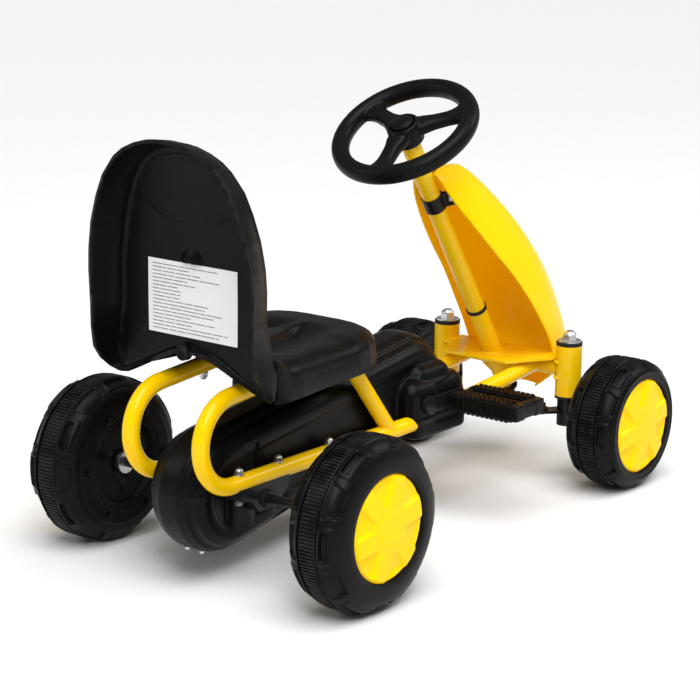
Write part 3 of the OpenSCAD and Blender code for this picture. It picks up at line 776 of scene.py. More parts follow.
class GeoTree:
    """A Geometry Nodes tree made in the script, which ends in realised, painted copies."""

    def __init__(self, name: str, inputs: Sequence[GeoInput]) -> None:
        """Makes the tree and its interface.

        Args:
            name: The tree's name.
            inputs: The named inputs after the geometry.
        """
        self.tree = bpy.data.node_groups.new(name, "GeometryNodeTree")
        face = self.tree.interface
        face.new_socket("Geometry", in_out="INPUT", socket_type="NodeSocketGeometry")
        face.new_socket("Geometry", in_out="OUTPUT", socket_type="NodeSocketGeometry")
        self.ids: dict[str, str] = {}
        for item in inputs:
            socket = face.new_socket(item.name, in_out="INPUT",
                                     socket_type=f"NodeSocket{item.kind}")
            self.ids[item.name] = socket.identifier
        self.values = {item.name: item.value for item in inputs}
        self.nodes = Nodes(self.tree)
        self.entry = self.nodes.raw("NodeGroupInput", {}, {})

    def given(self, name: str) -> Signal:
        """An input as a signal."""
        return Signal(self.nodes, self.entry.outputs[name])

    def close(self, geometry: Signal, finish: Finish) -> None:
        """Realises the copies, paints them and links the output.

        Args:
            geometry: The copies.
            finish: Their finish.
        """
        real = self.nodes.add("GeometryNodeRealizeInstances", {}, {"Geometry": geometry})
        paint = self.nodes.add("GeometryNodeSetMaterial", {},
                               {"Geometry": real, "Material": finish.material()})
        self.nodes.raw("NodeGroupOutput", {}, {"Geometry": paint})

    def run(self, name: str, base: bpy.types.Object | None = None,
            **values: Any) -> bpy.types.Object:
        """Runs the tree on an object and keeps the plain mesh.

        Args:
            name: Name of the piece.
            base: Object whose mesh feeds the tree, or None for an empty one.
            values: Inputs that differ from their defaults, with _ for a space.

        Returns:
            The piece.
        """
        made = base or bpy.data.objects.new(name, bpy.data.meshes.new(name))
        if base is None:
            bpy.context.scene.collection.objects.link(made)
        step = made.modifiers.new("Repeat", "NODES")
        step.node_group = self.tree
        chosen = {**self.values, **{k.replace("_", " "): v for k, v in values.items()}}
        for key, value in chosen.items():
            step[self.ids[key]] = value
        return baked(made)


class RingOfBars(GeoTree):
    """Tapered bars lying along x, evenly round a circle about x."""

    def __init__(self, name: str, finish: Finish) -> None:
        """Builds the tree for one finish."""
        super().__init__(name, [
            GeoInput("Count", "Int", 12), GeoInput("Radius", "Float", 0.1),
            GeoInput("Size", "Vector", (0.02, 0.002, 0.002)),
            GeoInput("Taper", "Float", 0.6), GeoInput("Centre", "Vector", (0, 0, 0))])
        n = self.nodes
        ring = n.add("GeometryNodeMeshCircle", {}, {
            "Vertices": self.given("Count"), "Radius": self.given("Radius")})
        bar = n.add("GeometryNodeMeshCube", {}, {"Size": self.given("Size")})
        normal = n.add("GeometryNodeInputNormal", {}, {})
        lift = n.add("ShaderNodeSeparateXYZ", {}, {"Vector": normal}, 2)
        top = n.add("FunctionNodeCompare", {"data_type": "FLOAT", "operation": "GREATER_THAN"},
                    {0: lift, 1: 0.5})
        narrow = n.raw("GeometryNodeScaleElements", {"domain": "FACE"}, {
            "Geometry": bar, "Selection": top, "Scale": self.given("Taper")})
        spot = n.add("GeometryNodeInputPosition", {}, {})
        facing = n.add("FunctionNodeAlignRotationToVector", {"axis": "Z"}, {"Vector": spot})
        along = n.add("FunctionNodeAlignRotationToVector", {"axis": "X", "pivot_axis": "Z"},
                      {"Rotation": facing, "Vector": (0.0, 0.0, 1.0)})
        copies = n.add("GeometryNodeInstanceOnPoints", {}, {
            "Points": ring, "Instance": Signal(n, narrow.outputs[0]), "Rotation": along})
        stood = n.add("GeometryNodeTransform", {}, {
            "Geometry": copies, "Rotation": (0.0, math.pi / 2, 0.0),
            "Translation": self.given("Centre")})
        self.close(stood, finish)


class NutsOnPoints(GeoTree):
    """A hexagon nut with a washer and a threaded end on every point of a mesh."""

    def __init__(self, name: str, finish: Finish) -> None:
        """Builds the tree for one finish."""
        super().__init__(name, [
            GeoInput("Nut", "Float", 0.0115), GeoInput("Height", "Float", 0.005),
            GeoInput("Stud", "Float", 0.006), GeoInput("Reach", "Float", 0.009),
            GeoInput("Washer", "Float", 0.013)])
        n = self.nodes
        half = self.given("Height") * 0.5
        nut = n.add("GeometryNodeMeshCylinder", {}, {
            "Vertices": 6, "Radius": self.given("Nut") * 0.5, "Depth": self.given("Height")})
        crown = n.add("GeometryNodeMeshUVSphere", {}, {
            "Segments": 24, "Rings": 12, "Radius": self.given("Nut") * 0.43})
        plate = n.add("GeometryNodeMeshCylinder", {}, {
            "Vertices": 32, "Radius": self.given("Washer") * 0.5, "Depth": 0.0012})
        stud = n.add("GeometryNodeMeshCylinder", {}, {
            "Vertices": 20, "Radius": self.given("Stud") * 0.5, "Depth": self.given("Reach")})
        thread = n.add("GeometryNodeMeshCircle", {"fill_type": "NONE"}, {
            "Vertices": 20, "Radius": self.given("Stud") * 0.5})
        wire = n.add("GeometryNodeCurveToMesh", {}, {
            "Curve": n.add("GeometryNodeMeshToCurve", {}, {"Mesh": thread}),
            "Profile Curve": n.add("GeometryNodeCurvePrimitiveCircle", {},
                                   {"Resolution": 5, "Radius": 0.0004})})
        rows = n.add("GeometryNodeMeshLine", {"mode": "OFFSET"}, {
            "Count": 5, "Offset": (0.0, 0.0, 0.001)})
        threads = n.add("GeometryNodeInstanceOnPoints", {}, {"Points": rows, "Instance": wire})

        def raised(piece: Signal, height: Any, scale: tuple[float, ...] = (1, 1, 1)) -> Signal:
            """Moves a piece up by height."""
            lift = n.add("ShaderNodeCombineXYZ", {}, {"Z": height})
            return n.add("GeometryNodeTransform", {}, {
                "Geometry": piece, "Translation": lift, "Scale": scale})

        parts = n.raw("GeometryNodeJoinGeometry", {}, {})
        for piece in (raised(nut, half + 0.0012), raised(plate, 0.0006),
                      raised(crown, half * 1.5 + 0.0012, (1.0, 1.0, 0.8)),
                      raised(stud, self.given("Reach") * 0.5),
                      raised(threads, self.given("Reach") - 0.0045)):
            self.tree.links.new(piece.socket, parts.inputs[0])
        source = Signal(n, self.entry.outputs["Geometry"])
        copies = n.add("GeometryNodeInstanceOnPoints", {}, {
            "Points": source, "Instance": Signal(n, parts.outputs[0])})
        self.close(copies, finish)


class WeldOnEdges(GeoTree):
    """Overlapping flattened beads along the edges of a mesh, like a weld."""

    def __init__(self, name: str, finish: Finish) -> None:
        """Builds the tree for one finish."""
        super().__init__(name, [
            GeoInput("Pitch", "Float", 0.0022), GeoInput("Bead", "Float", 0.0026)])
        n = self.nodes
        source = Signal(n, self.entry.outputs["Geometry"])
        seam = n.add("GeometryNodeMeshToCurve", {}, {"Mesh": source})
        dots = n.raw("GeometryNodeCurveToPoints", {"mode": "LENGTH"}, {
            "Curve": seam, "Length": self.given("Pitch")})
        blob = n.add("GeometryNodeMeshIcoSphere", {}, {
            "Radius": self.given("Bead"), "Subdivisions": 2})
        size = n.add("FunctionNodeRandomValue", {"data_type": "FLOAT"}, {
            "Min": 0.8, "Max": 1.1, "Seed": 7}, 1)
        copies = n.add("GeometryNodeInstanceOnPoints", {}, {
            "Points": Signal(n, dots.outputs[0]), "Instance": blob,
            "Rotation": Signal(n, dots.outputs["Rotation"]), "Scale": size})
        self.close(copies, finish)


class BarsOnPoints(GeoTree):
    """Boxes on the points of a mesh, each as long as its own "long" attribute says."""

    def __init__(self, name: str, finish: Finish) -> None:
        """Builds the tree for one finish."""
        super().__init__(name, [GeoInput("Size", "Vector", (1.0, 0.0002, 0.0012))])
        n = self.nodes
        source = Signal(n, self.entry.outputs["Geometry"])
        bar = n.add("GeometryNodeMeshCube", {}, {"Size": self.given("Size")})
        long = n.add("GeometryNodeInputNamedAttribute", {"data_type": "FLOAT"},
                     {"Name": "long"})
        scale = n.add("ShaderNodeCombineXYZ", {}, {"X": long, "Y": 1.0, "Z": 1.0})
        copies = n.add("GeometryNodeInstanceOnPoints", {}, {
            "Points": source, "Instance": bar, "Scale": scale})
        self.close(copies, finish)


def dots(name: str, spots: Any, long: Sequence[float] = ()) -> bpy.types.Object:
    """An object of loose points, to carry copies.

    Args:
        name: The object's name.
        spots: Places in millimetres.
        long: Optional length in metres for each place, kept as an attribute.

    Returns:
        The object.
    """
    data = bpy.data.meshes.new(name)
    data.from_pydata((np.array(spots, float) * MM).tolist(), [], [])
    if len(long):
        data.attributes.new("long", "FLOAT", "POINT").data.foreach_set("value", list(long))
    made = bpy.data.objects.new(name, data)
    bpy.context.scene.collection.objects.link(made)
    return made


def seam(name: str, runs: Sequence[Any]) -> bpy.types.Object:
    """An object of loose edges along polylines in millimetres."""
    spots: list[Any] = []
    edges: list[tuple[int, int]] = []
    for run in runs:
        start = len(spots)
        spots.extend(np.array(run, float) * MM)
        edges.extend((start + i, start + i + 1) for i in range(len(run) - 1))
    data = bpy.data.meshes.new(name)
    data.from_pydata([list(p) for p in spots], edges, [])
    made = bpy.data.objects.new(name, data)
    bpy.context.scene.collection.objects.link(made)
    return made


# ---------------------------------------------------------------------------- wheels


@dataclass
class Wheel:
    """A hollow moulded wheel: a tyre with a ribbed band, a yellow cap and an inner disc."""

    axle: str
    side: Side
    body: str
    axial: float = 0.0
    width: float = field(init=False)
    radius: float = field(init=False)
    centre: tuple[float, float] = field(init=False)
    cap_r: float = 67.0
    ribs: int = 150
    slots: int = 6

    def __post_init__(self) -> None:
        """Takes the wheel's place and size from its CAD tyre."""
        low, high = (np.array(c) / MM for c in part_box(f"{self.axle}_tyre_{self.side.word}"))
        cap_low, cap_high = (np.array(c) / MM
                             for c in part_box(f"{self.axle}_cap_{self.side.word}"))
        inner = min(abs(low[0]), abs(high[0]))
        self.axial = inner
        self.width = max(abs(cap_low[0]), abs(cap_high[0])) - inner + 2.0
        self.radius = (high[2] - low[2]) / 2
        self.centre = ((low[1] + high[1]) / 2, (low[2] + high[2]) / 2)

    def name(self, part: str) -> str:
        """Name of one of the wheel's pieces."""
        return f"{self.axle}_wheel_{self.side.word}_{part}"

    def placed(self, rows: Array) -> Array:
        """Points drawn with the inner face on x = 0, moved to the wheel's place."""
        out = rows.copy()
        out[..., 0] = self.side.value * (rows[..., 0] + self.axial - 2.0)
        out[..., 1] += self.centre[0]
        out[..., 2] += self.centre[1]
        return out

    @property
    def drop(self) -> float:
        """How far the shoulders fall from the tread, clear of the cap."""
        return min(27.0, self.radius - self.cap_r - 10.0)

    def section(self) -> Array:
        """Outline of the tyre in (x, radius), from the inner disc round to the cap."""
        w, r, mid = self.width, self.radius, self.width * 0.5
        turn = np.radians(np.linspace(4, 86, 14))
        out = 15.6 + 27.0 * (np.sin(turn) - math.sin(turn[0]))
        low = r - 1 - self.drop * (1 - np.cos(turn))
        inner = np.column_stack([mid - out, low])[::-1]
        outer = np.column_stack([mid + out, low])
        foot = r - self.drop
        run = [(8, 62.5), (3.2, 62.5), (2.2, 64), (2.0, foot - 1.5), *inner,
               (mid - 15, r - 0.8), (mid - 14.6, r - 5.0), (mid - 13.2, r - 5.0),
               (mid - 12.8, r - 1.8),
               (mid + 12.6, r - 1.8), (mid + 13.0, r - 5.0), (mid + 14.8, r - 5.0),
               (mid + 15.2, r - 0.6), *outer, (w - 2.4, min(self.cap_r + 9, foot - 1)),
               (w - 2.8, self.cap_r + 2.2), (w - 4.2, self.cap_r + 0.9),
               (w - 9, self.cap_r + 0.8), (w - 14, 58), (14, 58)]
        return even(run, 1.15, closed=True)

    def relief(self, x: Array, r: Array, angle: Array) -> Array:
        """How far the mould's pockets and facets sink the tyre, in millimetres.

        Args:
            x: Distance from the inner face.
            r: Radius.
            angle: Angle round the axle, in degrees.

        Returns:
            Depth below the smooth outline.
        """
        mid = self.width * 0.5
        pitch = 360.0 / self.slots
        depth = np.zeros_like(x)
        grow = self.radius / 110.0
        for direction, offset in ((1.0, 0.0), (-1.0, 30.0)):
            away = (x - mid) * direction
            phase = (angle + offset + pitch / 2) % pitch - pitch / 2
            across = np.abs(phase) * math.pi / 180 * self.radius
            pocket = patch(away, 19.5, 26.5, 1.3) * (1 - ease(17.0 * grow, 19.0 * grow, across))
            bank = patch(away, 17.5, 32, 2.5) * (1 - ease(22 * grow, 26 * grow, across))
            other = np.abs((angle + offset) % pitch - pitch / 2) * math.pi / 180 * self.radius
            edge = 25.0 * grow - 0.32 * (away - 17)
            facet = patch(away, 18.0, 36, 1.0) * (1 - ease(edge - 1.6, edge, other))
            depth += pocket * 5.5 - bank * 1.3
            depth += facet * (1.8 + 3.0 * ease(16, 38, away))
            shoulder = patch(away, 17.5, 40, 1.0)
            depth += shoulder * 0.4
        return depth

    def tyre(self) -> None:
        """Builds the tyre with its pockets, facets, grooves and screw wells."""
        run = self.section()
        sides = 420
        angle = np.broadcast_to(np.linspace(0, 360, sides, endpoint=False),
                                (len(run), sides))
        x = np.broadcast_to(run[:, :1], angle.shape)
        r = np.broadcast_to(run[:, 1:], angle.shape)
        way = np.gradient(run, axis=0)
        normal = np.stack([-way[:, 1], way[:, 0]], axis=1)
        normal /= np.linalg.norm(normal, axis=1, keepdims=True)
        skin = (r > self.radius - self.drop - 5) & (x > 2.5)
        sink = self.relief(x, r, angle) * skin
        out_x = x - normal[:, :1] * sink
        out_r = r - normal[:, 1:] * sink
        face = (x < 4.0) & (r > 63) & (r < 80)
        well = np.hypot(r - 71.5, ((angle + 30) % 60 - 30) * math.pi / 180 * 71.5)
        out_x = out_x + face * 7.0 * (1 - ease(3.0, 4.2, well))
        out_x = out_x + face * (-0.7) * patch(well, 4.6, 6.0, 0.8)
        turn = np.radians(angle)
        rows = np.stack([out_x, out_r * np.cos(turn), out_r * np.sin(turn)], axis=-1)
        skin_mesh = Skin()
        skin_mesh.grid(self.placed(rows), wrap_rows=True, wrap_cols=True)
        made = skin_mesh.mesh(self.name("tyre"))
        Workshop.dress(made, WHEEL_PLASTIC, self.body, f"{self.axle}_tyre_{self.side.word}",
                       crease=50)

    def tread(self, tree: RingOfBars) -> None:
        """Lays the cross ribs of the middle band."""
        mid = self.axial - 2.0 + self.width * 0.5 - 0.5
        place = Vector((self.side.value * mid, *self.centre)) * MM
        made = tree.run(self.name("tread"), Count=int(self.ribs * self.radius / 110),
                        Radius=(self.radius - 1.35) * MM, Size=(25.0 * MM, 2.7 * MM, 2.2 * MM),
                        Taper=0.82, Centre=tuple(place))
        Workshop.dress(made, WHEEL_PLASTIC, self.body)

    def cap(self) -> None:
        """Builds the cap: a raised middle, spokes and pockets open to a wavy rim."""
        w = self.width
        rings = np.concatenate([[0.4], np.linspace(2.0, 56, 34), np.linspace(57, self.cap_r, 12)])
        sides = 288
        turn = np.linspace(0, 2 * math.pi, sides, endpoint=False)
        r, angle = np.meshgrid(rings, turn, indexing="ij")
        phase = (np.degrees(angle) + 15) % 60 - 30
        half = 5.0 + 9.0 * ease(26, 62, r)
        across = 1 - ease(half, half + 5.5, np.abs(phase - 2.0 * ease(30, 60, r)))
        along = ease(27, 40, r)
        slope = 2.2 + 3.2 * ease(30, 60, r)
        crown = w - 2.0 + 1.9 * (1 - (r / 62) ** 2) * (r < 62)
        middle = 0.7 * (1 - ease(22, 27, r))
        height = crown + middle - across * along * slope * (1 - 0.55 * ease(56, 66, r))
        rim = ease(self.cap_r - 5.5, self.cap_r, r)
        height = height - rim ** 2 * (3.6 - 1.4 * across * along)
        reach = r - 0.7 * rim * across
        rows = np.stack([height, reach * np.cos(angle), reach * np.sin(angle)], axis=-1)
        skirt = rows[-1:].copy()
        skirt[..., 0] = w - 10
        rows = np.concatenate([rows, skirt, skirt * [1, 0.4, 0.4]], axis=0)
        skin = Skin()
        start = skin.grid(self.placed(rows), wrap_cols=True)
        skin.fan(start, sides, self.placed(np.array([w + 0.55, 0, 0])))
        last = start + (len(rows) - 1) * sides
        skin.fan(last, sides, self.placed(np.array([w - 10.0, 0, 0])))
        made = skin.mesh(self.name("cap"))
        Workshop.dress(made, YELLOW_PLASTIC, self.body, f"{self.axle}_cap_{self.side.word}",
                       crease=60)

    def disc(self) -> None:
        """Builds the recessed inner disc with its step, V rib and rim beads."""
        rings = np.concatenate([np.linspace(7.2, 50, 44), np.linspace(50.6, 62.4, 22)])
        sides = 260
        turn = np.linspace(0, 2 * math.pi, sides, endpoint=False)
        r, angle = np.meshgrid(rings, turn, indexing="ij")
        y, z = r * np.cos(angle), r * np.sin(angle)
        depth = 11.0 - 7.2 * ease(52.5, 56.0, r) - 4.0 * (1 - ease(12.5, 14.5, r))
        depth = depth - 0.9 * patch(r, 58.2, 59.4, 0.7)
        for lean in (-1.0, 1.0):
            ax, az = -0.6 * lean, 0.8
            along = (y * ax + (z + 33) * az)
            off = np.abs(-y * az + (z + 33) * ax)
            depth = depth - 2.6 * (1 - ease(1.2, 2.4, off)) * patch(along, 0, 24, 1.5)
        depth = depth - 1.2 * (1 - ease(1.6, 2.6, np.hypot(y, z + 40)))
        rows = np.stack([depth, y, z], axis=-1)
        back = rows.copy()
        back[..., 0] = 14.0
        skin = Skin()
        skin.grid(self.placed(np.concatenate([rows, back[::-1]])), wrap_rows=True,
                  wrap_cols=True)
        made = skin.mesh(self.name("disc"))
        Workshop.dress(made, WHEEL_PLASTIC, self.body, f"{self.axle}_disc_{self.side.word}",
                       crease=50)

    def build(self, tree: RingOfBars) -> None:
        """Builds the whole wheel, its ribs with the given tree."""
        self.tyre()
        self.tread(tree)
        self.cap()
        self.disc()


# ---------------------------------------------------------------------------- seat


@dataclass
class Seat:
    """A one-piece bucket: a tray-shaped back with a deep rim, and a skirted pan."""

    rear_axle_y: float = 305.0
    wall: float = 4.6
    pan_top: float = 298.0
    pan_low: float = 251.5
    roll_in: float = 27.0
    roll_down: float = 21.0
    bolt_y: tuple[tuple[float, float], ...] = ((-20.0, 258.0), (-108.0, 265.2))

    def rim_half(self) -> Array:
        """Half outline of the back in (x, z, y of the rim's edge, inset of the sheet)."""
        keys = [(0, 565, 116, 7), (25, 563.4, 116, 7), (47, 557.5, 115.5, 8),
                (66, 549, 115, 9), (81, 538, 114.5, 10), (101, 513, 113.5, 11),
                (114, 485, 112, 12), (125, 453, 110, 13), (132.4, 417, 107, 14),
                (134.6, 390, 105.5, 14), (133, 350, 105, 13), (132.5, 318, 105, 7),
                (134.2, 292, 100, 2.6), (134.6, 275, 88, 2.2), (132.6, 261, 72, 2.4),
                (124, 254, 63, 5), (112, 255, 61, 4), (94, 263, 62.5, 4),
                (73, 273, 65, 4), (51, 284, 68, 4), (28, 294, 70, 4), (0, 297, 70.5, 4)]
        return np.array(keys, float)

    def sheet_y(self, z: Any) -> Array:
        """Where the front of the back's sheet lies, by height."""
        keys = [(240, 58), (412, 58), (455, 60), (500, 64.5), (545, 73), (570, 80)]
        return through(keys, z)[:, 0]

    def outline(self) -> Array:
        """The whole closed outline as even points."""
        half = even(self.rim_half(), 3.0)
        other = half[1:-1][::-1].copy()
        other[:, 0] *= -1
        return np.vstack([half, other])

    def back(self) -> Skin:
        """The tray: a flat sheet, a rounded inner corner and the flared rim."""
        rim = self.outline()
        centre = np.array([0.0, 420.0])
        flat = rim[:, :2]
        inward = centre - flat
        inward /= np.linalg.norm(inward, axis=1, keepdims=True)
        ahead = np.roll(flat, -1, axis=0) - np.roll(flat, 1, axis=0)
        normal = np.stack([ahead[:, 1], -ahead[:, 0]], axis=1)
        normal /= np.linalg.norm(normal, axis=1, keepdims=True)
        normal *= np.sign(np.sum(normal * inward, axis=1, keepdims=True))
        sheet = flat + normal * rim[:, 3:4]
        rows: list[Array] = []
        fillet = np.minimum(rim[:, 3] * 0.9, 11.0)[:, None]
        inner = sheet + normal * fillet
        for t in np.concatenate([np.linspace(0.02, 0.9, 26), [0.95, 1.0]]):
            spot = centre + (inner - centre) * t
            rows.append(np.column_stack([spot[:, 0], self.sheet_y(spot[:, 1]), spot[:, 1]]))
        depth = np.maximum(rim[:, 2] - self.sheet_y(rim[:, 1]), 2.0)[:, None]
        for turn in np.radians(np.linspace(15, 90, 6)):
            spot = inner - normal * fillet * math.sin(turn)
            lift = np.minimum(fillet * (1 - math.cos(turn)), depth * 0.5)
            y = self.sheet_y(spot[:, 1])[:, None] + lift
            rows.append(np.column_stack([spot[:, 0], y, spot[:, 1]]))
        last = rows[-1]
        for t in np.linspace(0.1, 1.0, 14):
            spot = last + (np.column_stack([flat[:, 0], rim[:, 2], flat[:, 1]]) - last) * t
            bulge = 1.6 * math.sin(math.pi * t)
            spot[:, 0] -= normal[:, 0] * bulge
            spot[:, 2] -= normal[:, 1] * bulge
            rows.append(spot)
        grid = np.array(rows)
        skin = Skin()
        start = skin.grid(grid, wrap_cols=True)
        skin.fan(start, len(rim), [0.0, float(self.sheet_y(420)[0]), 420.0])
        return skin

    def pan(self) -> Skin:
        """The pan: crowned top with two leg hollows, softly rolled edge and skirt."""
        half = [(133, 60), (134.2, 50), (134.6, 38), (133, 12), (128, -25), (123, -75),
                (120, -118), (115, -146), (104, -172), (86, -193), (62, -205),
                (34, -210.6), (0, -212)]
        run = even(half, 3.2)
        flat = np.vstack([run, run[:-1][::-1] * [-1, 1]])
        spine = np.column_stack([np.zeros(len(flat)), np.clip(flat[:, 1], -132, 56)])
        inward = spine - flat
        inward /= np.linalg.norm(inward, axis=1, keepdims=True)
        edge = flat + inward * (self.roll_in + 2.0)
        rows = []
        for t in np.linspace(0.0, 1.0, 46):
            spot = spine + (edge - spine) * t
            rows.append(np.column_stack([spot, self.pan_height(spot)]))
        top = self.pan_height(edge)
        for turn in np.radians(np.linspace(10, 90, 10)):
            spot = edge - inward * self.roll_in * math.sin(turn)
            rows.append(np.column_stack([spot, top - self.roll_down * (1 - math.cos(turn))]))
        for t in np.linspace(0.12, 1.0, 9):
            spot = edge - inward * (self.roll_in + 2.0 * math.sin(t * math.pi * 0.8))
            low = self.pan_low + 2.0 * ease(-205, -140, -spot[:, 1])
            rows.append(np.column_stack([spot, (top - self.roll_down) * (1 - t) + low * t]))
        skin = Skin()
        skin.grid(np.array(rows))
        return skin

    def pan_height(self, spot: Array) -> Array:
        """Height of the pan's top at places (x, y)."""
        x, y = spot[:, 0], spot[:, 1]
        crown = self.pan_top + 0.5 - 5.0 * (np.abs(x) / 120) ** 3
        crown = crown + 2.0 * patch(y, -185, -130, 30)
        hollow = 4.0 * ease(-120, 30, y)
        for side in (-1.0, 1.0):
            away = side * x - (36.0 - 31.0 * ease(-15, 150, -y) - 14.0 * ease(20, -20, -y))
            deep = ease(-1.0, 7.0, away) * (1 - ease(16.0, 74.0, away))
            hollow = hollow - 9.5 * deep * patch(y, -112, -12, 44.0)
        rise = 20.0 * ease(24, 60, y) ** 1.7
        return crown + hollow + rise

    def bosses(self) -> Skin:
        """Posts under the pan that sit on the rails."""
        skin = Skin()
        for side in (-1, 1):
            for y, rail_z in self.bolt_y:
                path = [[side * 57.5, y, rail_z + 4], [side * 57.5, y, 286]]
                skin.tube(even(path, 6.0), 10.0, 24)
        return skin

    def bolts(self) -> None:
        """Hangs the seat's nuts under the rails."""
        spots = [(side * 57.5, -(y + self.rear_axle_y), -(rail_z - 10.6))
                 for side in (-1, 1) for y, rail_z in self.bolt_y]
        tree = NutsOnPoints("seat_nuts_tree", ZINC)
        made = tree.run("seat_nuts", dots("seat_nuts", spots))
        made.data.transform(Matrix.Rotation(math.pi, 4, "X"))
        Workshop.dress(made, ZINC, "frame", "seat_bolts")

    def marks(self) -> list[bpy.types.Object]:
        """Moulded marks behind the sheet: an oval ridge, a half dome, lugs and ribs."""
        made = []
        skin = Skin()
        turn = np.linspace(0, 2 * math.pi, 120)
        for grow, height in ((0.0, 1.5), (8.0, 1.0)):
            x, z = (77 - grow) * np.cos(turn), 499 + (45 - grow * 0.8) * np.sin(turn)
            path = np.column_stack([x, self.sheet_y(z) + self.wall - 0.6, z])
            skin.tube(path, height, 8, cap=False)
        ring = turned([(-2, 0.5), (4, 0.5), (6.5, 7), (6.8, 9.5), (5.8, 10.6), (-2, 11)], 40)
        flat = ring[..., [1, 0, 2]] + [10.6, 66.0, 298.0]
        skin.grid(flat, wrap_cols=True)
        arc = np.radians(np.linspace(0, 180, 25))
        rows = []
        for t in np.linspace(0, 1, 9):
            r = 21.5 * (1 - t * 0.85)
            y = 61.0 + 8.0 * math.sin(math.pi / 2 * t)
            rows.append(np.column_stack([r * np.cos(arc), np.full(25, y), 409 + r * np.sin(arc)]))
        skin.grid(np.array(rows))
        made.append(skin.mesh("seat_marks"))
        return made

    def shifted(self, skin: Skin) -> Skin:
        """Moves a drawing from the rear axle's frame to the kart's."""
        return skin.moved(Matrix.Translation((0, self.rear_axle_y, 0)))

    def label(self) -> None:
        """The pale sticker with plain grey bars for its lines."""
        cols, rows = 30, 20
        x, z = np.meshgrid(np.linspace(-72.5, 72.5, cols), np.linspace(315.5, 408, rows),
                           indexing="ij")
        wave = 0.22 * np.sin(x / 17.0) * np.cos(z / 23.0)
        y = self.sheet_y(z.ravel()).reshape(x.shape) + self.wall + 0.75 + wave
        sheet = np.stack([x, y, z], axis=-1)
        skin = Skin()
        skin.grid(sheet)
        made = self.shifted(skin).mesh("seat_label_film")
        modified(made, "SOLIDIFY", thickness=0.25 * MM, offset=0.0)
        Workshop.dress(made, LABEL_FILM, "frame", "seat_label")
        rng = np.random.default_rng(4)
        spots, long = [], []
        for row in range(19):
            z = 402.0 - 4.5 * row
            width = (112 if row < 6 else 128) * rng.uniform(0.45, 1.0)
            if 6 <= row <= 9:
                width = rng.uniform(38, 58)
            start = 66.0
            while width > 4:
                piece = min(width, rng.uniform(9, 26))
                centre = start - piece / 2
                wave = 0.22 * math.sin(centre / 17.0) * math.cos(z / 23.0)
                y = float(self.sheet_y(z)[0]) + self.wall + 0.95 + wave
                spots.append((centre, y + self.rear_axle_y, z))
                long.append((piece - 1.6) * MM)
                start -= piece
                width -= piece
        base = dots("seat_label_bars", spots, long)
        made = BarsOnPoints("label_bars", LABEL_INK).run("seat_label_bars", base,
                                                         Size=(1.0, 0.0002, 0.0011))
        Workshop.dress(made, LABEL_INK, "frame")

    def shell(self, name: str, skin: Skin) -> bpy.types.Object:
        """A skin with the seat's wall and softened edges."""
        made = self.shifted(skin).mesh(name)
        modified(made, "SOLIDIFY", thickness=self.wall * MM, offset=-1.0,
                 use_even_offset=False)
        return modified(made, "BEVEL", width=1.2 * MM, segments=3, limit_method="ANGLE",
                        angle_limit=math.radians(50))

    def build(self) -> None:
        """Builds the seat in one piece, then its label."""
        made = self.shell("seat_moulding", self.back())
        united(made, self.shell("seat_pan_moulding", self.pan()))
        united(made, self.shifted(self.bosses()).mesh("seat_posts"))
        Workshop.dress(made, SEAT_PLASTIC, "frame", "seat_shell", crease=50)
        self.bolts()
        for piece in self.marks():
            matrix = Matrix.Translation((0, self.rear_axle_y * MM, 0))
            piece.data.transform(matrix)
            Workshop.dress(piece, SEAT_PLASTIC, "frame")
        self.label()


# ---------------------------------------------------------------------------- drive


